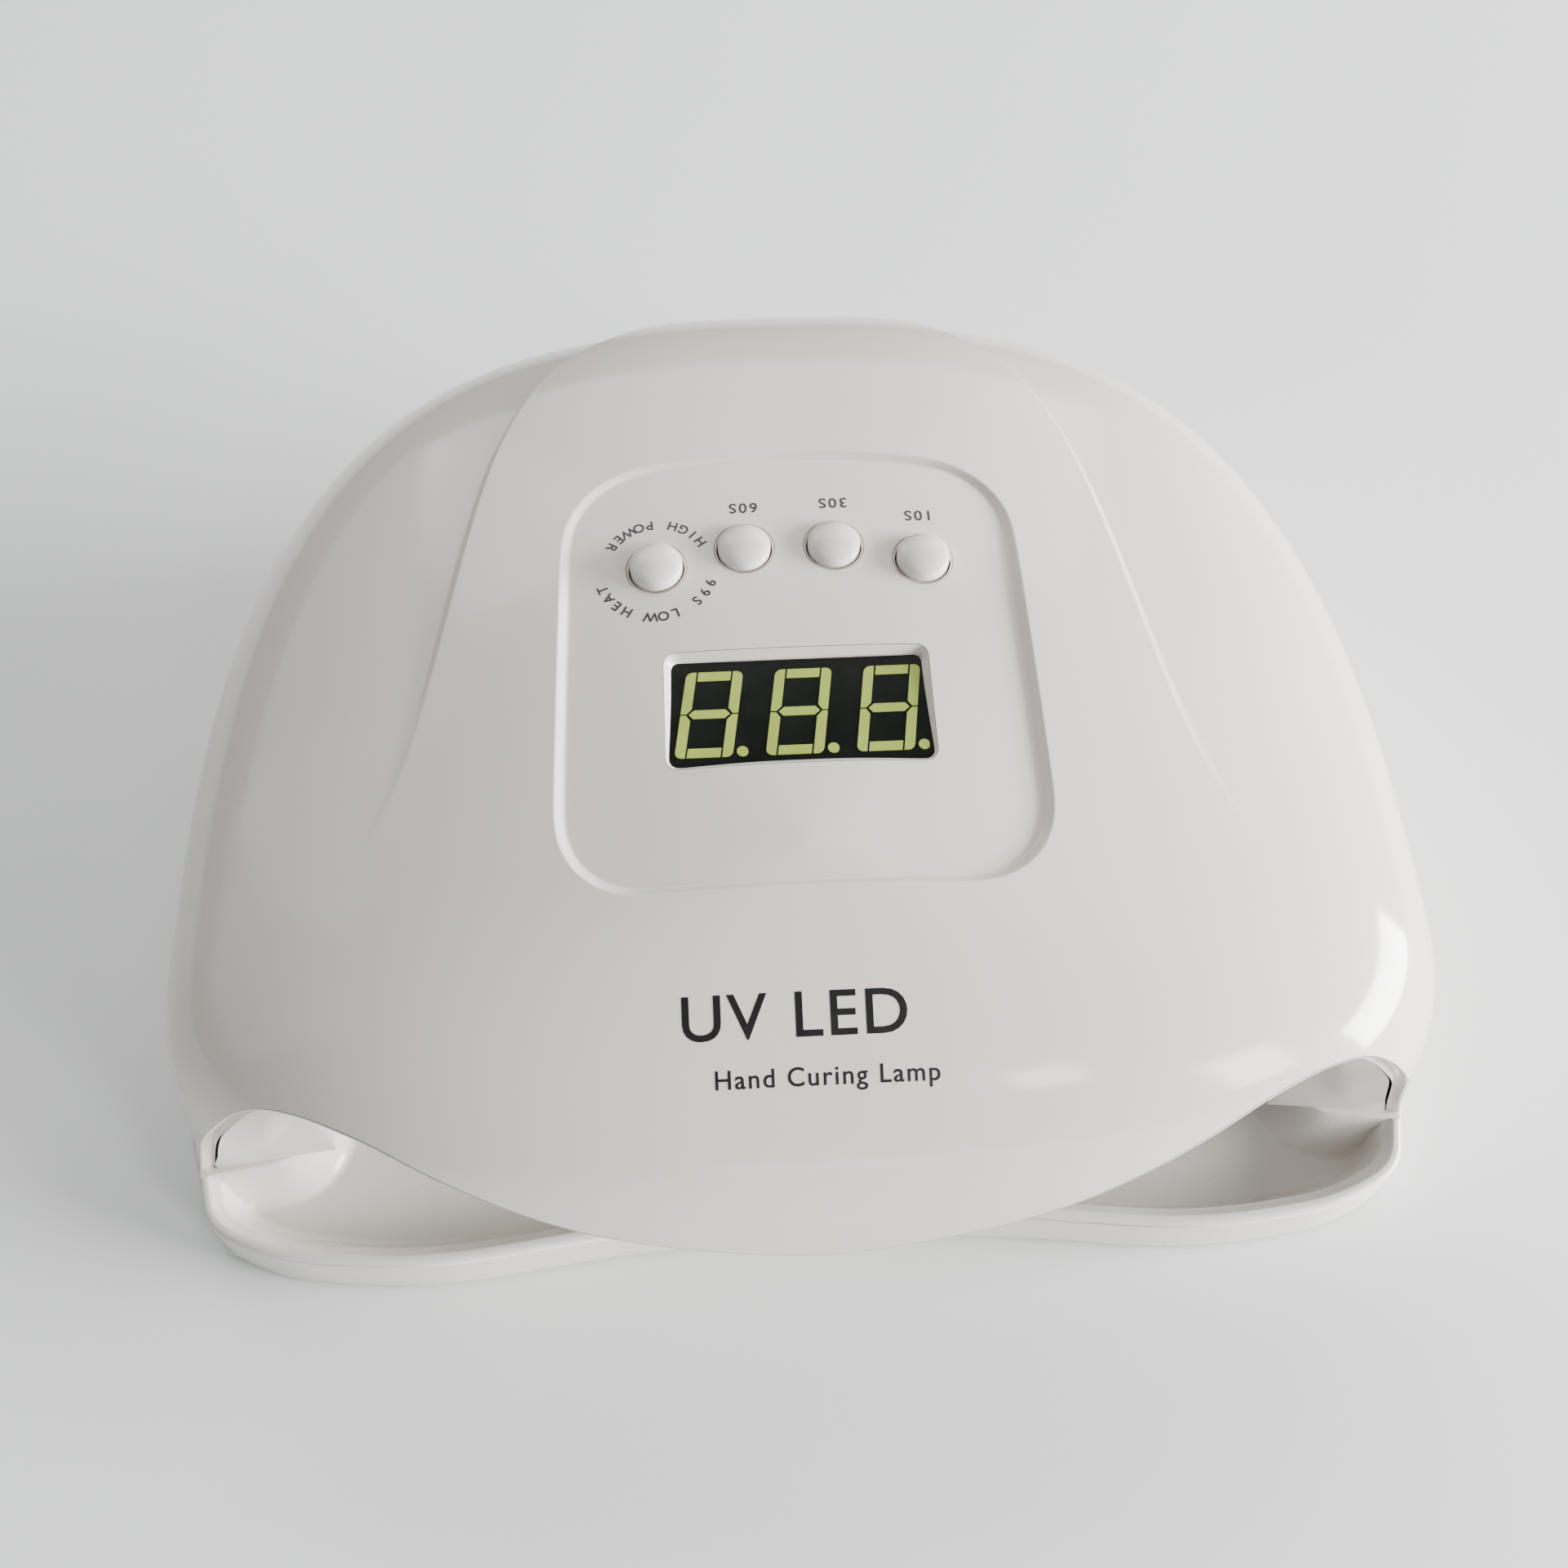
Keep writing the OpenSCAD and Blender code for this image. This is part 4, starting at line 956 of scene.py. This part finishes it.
def build_segments():
    """Bars of the three digits, as thin raised plates on the display's face."""
    bm = bmesh.new()
    for i in (-1, 0, 1):
        bars, dot = digit_outlines()
        slanted = [[(x + y * SLANT, y) for x, y in b] for b in bars] + [dot]
        for shape in slanted:
            shape = [(min(x + i * DIGIT_PITCH, WINDOW_W / 2 - 0.02), y) for x, y in shape]
            low, high = ([bm.verts.new(board_point(x, y + DIGITS_AT, DISPLAY_N + n) * MM)
                          for x, y in shape] for n in (0, SEG_DEEP))
            bm.faces.new(high)
            bm.faces.new(low[::-1])
            for k in range(len(shape)):
                j = (k + 1) % len(shape)
                bm.faces.new([low[k], low[j], high[j], high[k]])
    bmesh.ops.recalc_face_normals(bm, faces=bm.faces)
    make("display_bars", mesh_of(bm, "display_bars"), "housing", "segment_yellow",
         ["display_segments"])


def build_display():
    """The display's body with rounded edges and a flat dark face."""
    w, h, deep = 37.6, 19.0, 8.0
    levels = [(0.35, -deep), (0.1, -deep + 0.1), (0, -deep + 0.35), (0, -0.4), (0.05, -0.15), (0.25, 0.0)]
    skin = Skin()
    rings = []
    for inset, n in levels:
        loop = rounded_box(w - 2 * inset, h - 2 * inset, 0.8, 0.8)
        loop = resample(loop, 0.02, True)
        loop = loop[(np.arange(120) * len(loop) / 120).astype(int)]
        rings.append(board_point(loop[:, 0], loop[:, 1] + DISPLAY_AT, DISPLAY_N + n))
    skin.strip(rings)
    for ring, flip in ((rings[-1], False), (rings[0], True)):
        middle = ring.mean(0)
        pts = np.vstack([ring, [middle]])
        k = len(ring)
        fan = [[i, (i + 1) % k, k] for i in range(k)]
        skin.patch(pts, np.tile(BOARD_UP, (k + 1, 1)), fan, flip)
    make("display_body", skin.mesh("display_body"), "housing", "display_face", ["display_module"])


# ---- Printed captions ----
INK_ABOVE, INK_BELOW = 0.035, 0.05
SMALL_BOLD, LARGE_BOLD = 0.03, 0.06   # how much each letter outline grows outward


def letters(text, height, spacing=1.0, bold=0.0):
    """Flat outline mesh of a line of text, centred, its capitals height tall: a bmesh in millimetres."""
    curve = bpy.data.curves.new("text", "FONT")
    curve.body = text
    curve.align_x, curve.align_y = "CENTER", "CENTER"
    curve.size = height / 0.73
    curve.space_character = spacing
    curve.resolution_u = 5
    curve.offset = bold
    obj = place_in_scene("text", curve)
    data = applied(obj)
    bpy.data.objects.remove(obj)
    bm = bmesh.new()
    bm.from_mesh(data)
    return bm


def print_on_shell(name, bm, place, cells=1.0):
    """Lays a flat outline on the shell: place takes flat points to plan points."""
    for axis in (0, 1):
        values = [v.co[axis] for v in bm.verts]
        for c in np.arange(math.floor(min(values)), max(values), cells):
            point, normal = Vector((0, 0, 0)), Vector((0, 0, 0))
            point[axis], normal[axis] = c, 1
            bmesh.ops.bisect_plane(bm, geom=bm.verts[:] + bm.edges[:] + bm.faces[:], plane_co=point,
                                   plane_no=normal)
    bmesh.ops.remove_doubles(bm, verts=bm.verts, dist=0.003)
    bm.verts.ensure_lookup_table()
    flat = np.array([v.co[:2] for v in bm.verts])
    q = flat_at(place(flat))
    on = shell_point(q)
    up = normal_of(shell_point, q)
    faces = [[v.index for v in f.verts] for f in bm.faces]
    rim = [(e.verts[0].index, e.verts[1].index, e.link_loops[0].vert.index)
           for e in bm.edges if len(e.link_faces) == 1]
    bm.free()
    n = len(on)
    pts = np.vstack([on + up * INK_ABOVE, on - up * INK_BELOW])
    under = [[v + n for v in f[::-1]] for f in faces]
    ends = [(a, b) if first == a else (b, a) for a, b, first in rim]
    sides = [[b, a, a + n, b + n] for a, b in ends]
    data = bpy.data.meshes.new(name)
    data.from_pydata((pts * MM).tolist(), [], faces + under + sides)
    mesh = bmesh.new()
    mesh.from_mesh(data)
    bmesh.ops.recalc_face_normals(mesh, faces=mesh.faces)
    mesh.to_mesh(data)
    mesh.free()
    make(name, data, "housing", "black_plastic", look=MATERIALS["print_black"])


def turned(x, y, degrees=180.0, squeeze=1.0):
    """Places flat text about a plan point, turned and with its height squeezed."""
    c, s = math.cos(math.radians(degrees)), math.sin(math.radians(degrees))
    return lambda f: np.stack([x + c * f[:, 0] - s * f[:, 1] * squeeze,
                               y + s * f[:, 0] + c * f[:, 1] * squeeze], -1)


def wrapped(text, height, centre, radius, middle, spread, outward):
    """Letters of a text round a circle, one by one, as one flat mesh in plan."""
    whole = bmesh.new()
    for k, letter in enumerate(text):
        if letter == " ":
            continue
        angle = middle + spread * (k - (len(text) - 1) / 2) * (-1 if outward else 1)
        a = math.radians(angle)
        one = letters(letter, height, 1.0, SMALL_BOLD)
        lean = a - math.pi / 2 if outward else a + math.pi / 2
        turn = Matrix.Rotation(lean, 4, "Z")
        place = Matrix.Translation((centre[0] + radius * math.cos(a), centre[1] + radius * math.sin(a), 0))
        bmesh.ops.transform(one, matrix=place @ turn, verts=one.verts)
        whole.from_mesh(mesh_of(one, "letter"))
    return whole


def build_captions():
    """The captions beside the buttons and the wording on the hood."""
    as_is = lambda f: f
    for text, x, y in (("10S", 19.8, 7.9), ("30S", 7.05, 10.6), ("60S", -6.5, 10.2)):
        print_on_shell(f"caption_{text}", letters(text, 1.9, 1.22, SMALL_BOLD), turned(x, y, 180))
    centre = board_point(*BUTTONS["99s"], 0.0)[:2]
    print_on_shell("caption_low", wrapped("99S LOW HEAT", 1.6, centre, 8.4, 270, 12.5, True), as_is)
    print_on_shell("caption_high", wrapped("HIGH POWER", 1.6, centre, 8.0, 90, 12.5, False), as_is)
    print_on_shell("mark_large", letters("UV LED", 6.2, 1.1, LARGE_BOLD), turned(-3.0, -67.0, 0, 0.88))
    print_on_shell("mark_small", letters("Hand Curing Lamp", 2.5, 1.14, SMALL_BOLD),
                   turned(1.0, -73.8, 0, 0.86))


# ---- Materials ----
def material(name, colour, roughness, metallic=0.0, specks=None, bump=0.0, bump_scale=900.0,
             patch=0.03, patch_scale=60.0, **sockets):
    """A material with a slow drift of colour, a fine grain of roughness and a fine bump."""
    mat = bpy.data.materials.new(name)
    mat.use_nodes = True
    nodes, links = mat.node_tree.nodes, mat.node_tree.links
    shader = nodes["Principled BSDF"]
    coord = nodes.new("ShaderNodeTexCoord")
    drift = nodes.new("ShaderNodeTexNoise")
    drift.inputs["Scale"].default_value = patch_scale
    drift.inputs["Detail"].default_value = 4
    links.new(coord.outputs["Object"], drift.inputs["Vector"])
    ramp = nodes.new("ShaderNodeValToRGB")
    ramp.color_ramp.elements[0].position, ramp.color_ramp.elements[1].position = 0.3, 0.7
    dark = [c * (1 - patch) for c in colour]
    ramp.color_ramp.elements[0].color = (*dark, 1)
    ramp.color_ramp.elements[1].color = (*[min(1, c * (1 + patch * 0.5)) for c in colour], 1)
    links.new(drift.outputs["Fac"], ramp.inputs["Fac"])
    links.new(ramp.outputs["Color"], shader.inputs["Base Color"])
    grain = nodes.new("ShaderNodeTexNoise")
    grain.inputs["Scale"].default_value = bump_scale
    grain.inputs["Detail"].default_value = 3
    links.new(coord.outputs["Object"], grain.inputs["Vector"])
    gloss = nodes.new("ShaderNodeMapRange")
    gloss.inputs["To Min"].default_value = roughness * 0.85
    gloss.inputs["To Max"].default_value = min(1, roughness * 1.15)
    links.new(grain.outputs["Fac"], gloss.inputs["Value"])
    links.new(gloss.outputs["Result"], shader.inputs["Roughness"])
    shader.inputs["Metallic"].default_value = metallic
    if bump:
        height = nodes.new("ShaderNodeBump")
        height.inputs["Strength"].default_value = bump
        height.inputs["Distance"].default_value = 0.00005
        links.new(grain.outputs["Fac"], height.inputs["Height"])
        links.new(height.outputs["Normal"], shader.inputs["Normal"])
    for key, value in sockets.items():
        shader.inputs[key.replace("_", " ")].default_value = value
    return mat


cap_white = material("cap_white_abs", (0.775, 0.735, 0.69), 0.1, bump=0.02, patch=0.01)
gloss_white = material("gloss_white_abs", (0.765, 0.71, 0.65), 0.12, bump=0.03, patch=0.01)
tray_white = material("tray_white_abs", (0.775, 0.735, 0.69), 0.26, bump=0.05, patch=0.01)
satin_white = material("satin_white_abs", (0.775, 0.735, 0.69), 0.3, bump=0.15, patch=0.015)
# By record slot. print_black is for the captions.
MATERIALS = {"gloss_white": gloss_white, "satin_white": satin_white}


def look_for(name, *look, **more):
    MATERIALS[name] = material(name, *look, **more)


look_for("foot_rubber", (0.05, 0.05, 0.052), 0.75, bump=0.5)
look_for("nickel", (0.62, 0.61, 0.58), 0.25, metallic=1.0, bump=0.1)
look_for("zinc_steel", (0.55, 0.56, 0.58), 0.35, metallic=1.0, bump=0.2, patch=0.1)
look_for("board_green", (0.02, 0.12, 0.06), 0.35, bump=0.2, patch=0.15)
look_for("board_white", (0.75, 0.76, 0.74), 0.4, bump=0.2)
look_for("black_plastic", (0.02, 0.02, 0.02), 0.35, bump=0.2)
look_for("display_face", (0.004, 0.006, 0.004), 0.18, patch=0.5, patch_scale=220)
look_for("segment_yellow", (0.34, 0.44, 0.06), 0.45, patch=0.12, patch_scale=160)
look_for("connector_nylon", (0.72, 0.69, 0.6), 0.45, bump=0.2)
look_for("led_lens", (0.75, 0.75, 0.86), 0.12, patch=0.05, Transmission_Weight=0.55)
look_for("sensor_filter", (0.03, 0.008, 0.02), 0.12)
look_for("print_black", (0.012, 0.012, 0.012), 0.35, patch=0.2, patch_scale=400)
look_for("wire_red", (0.45, 0.02, 0.015), 0.4, bump=0.2)
look_for("wire_grey", (0.6, 0.6, 0.6), 0.4, bump=0.2)


def dress_nodes():
    """Gives every CAD node still shown its slot's material."""
    for part in frame["record"]["subparts"]:
        obj = frame["nodes"][part["node"]]
        obj.data.materials.clear()
        obj.data.materials.append(MATERIALS[part["material_slot"]])


build_shell()
build_liner()
build_tray()
build_ribs()
build_caps()
build_display()
build_segments()
build_captions()
dress_nodes()

# ---- Floor, light and camera ----
FLOOR_HALF = 3.0           # metres


def build_stage():
    """A plain pale floor."""
    floor_mesh = bpy.data.meshes.new("floor")
    s = FLOOR_HALF
    floor_mesh.from_pydata([(-s, -s, 0), (s, -s, 0), (s, s, 0), (-s, s, 0)], [], [(0, 1, 2, 3)])
    paper = material("floor_paper", (0.87, 0.915, 0.89), 0.6, patch=0.01, patch_scale=4)
    floor_mesh.materials.append(paper)
    place_in_scene("floor", floor_mesh)


# Name, degrees round from the front, degrees up, size in metres and watts of each soft light.
LIGHTS = [("key_right", 80, 12, (1.0, 0.5), 122), ("fill_rear", 180, 45, (1.6, 1.0), 15),
          ("fill_right_rear", 135, 40, (1.2, 1.0), 5), ("fill_left_rear", -130, 40, (1.2, 1.0), 5),
          ("fill_left", -90, 35, (1.2, 1.0), 2.4), ("fill_right", 95, 35, (1.2, 1.0), 4),
          ("front_low", 20, 5, (1.4, 0.25), 2.6), ("window_right", 44, 26, (0.3, 0.4), 8),
          ("window_front", 22, 40, (0.16, 0.16), 1.4)]
LIGHT_FAR = 1.6            # metres from the origin
LIGHT_AIM = (0, 0, 0.03)
# Camera: degrees of yaw, pitch down and roll, metres from its target, and millimetres of lens.
CAMERA_TURN, CAMERA_TARGET = (-3.376, 54.836, 0.406), (-0.0011992, -0.0094, 0.040)
CAMERA_FAR, CAMERA_LENS = 0.265317, 36.565


def area_light(name, turn, rise, size, power):
    """A soft rectangular light aimed at the lamp."""
    data = bpy.data.lights.new(name, "AREA")
    data.shape = "RECTANGLE"
    data.size, data.size_y = size
    data.energy = power
    obj = place_in_scene(name, data)
    a, e = math.radians(turn), math.radians(rise)
    to_light = Vector((math.sin(a) * math.cos(e), -math.cos(a) * math.cos(e), math.sin(e)))
    obj.location = LIGHT_FAR * to_light
    obj.rotation_euler = (Vector(LIGHT_AIM) - obj.location).to_track_quat("-Z", "Y").to_euler()


def build_camera():
    """The camera that sees what the photograph shows."""
    yaw, rise, roll = (math.radians(v) for v in CAMERA_TURN)
    back = Vector((math.sin(yaw) * math.cos(rise), -math.cos(yaw) * math.cos(rise), math.sin(rise)))
    side = (-back).cross(Vector((0, 0, 1))).normalized()
    up = side.cross(-back)
    side2 = math.cos(roll) * side + math.sin(roll) * up
    up2 = -math.sin(roll) * side + math.cos(roll) * up
    data = bpy.data.cameras.new("camera")
    data.sensor_width = 36
    data.lens = CAMERA_LENS
    data.clip_start = 0.01
    camera = place_in_scene("camera", data)
    rot = Matrix((side2, up2, back)).transposed().to_4x4()
    camera.matrix_world = Matrix.Translation(Vector(CAMERA_TARGET) + back * CAMERA_FAR) @ rot
    bpy.context.scene.camera = camera


build_stage()
for name, turn, rise, size, power in LIGHTS:
    area_light(name, turn, rise, size, power)
world = bpy.data.worlds.new("room")
world.use_nodes = True
world.node_tree.nodes["Background"].inputs[0].default_value = (0.80, 0.82, 0.83, 1)
world.node_tree.nodes["Background"].inputs[1].default_value = 0.1
bpy.context.scene.world = world
build_camera()
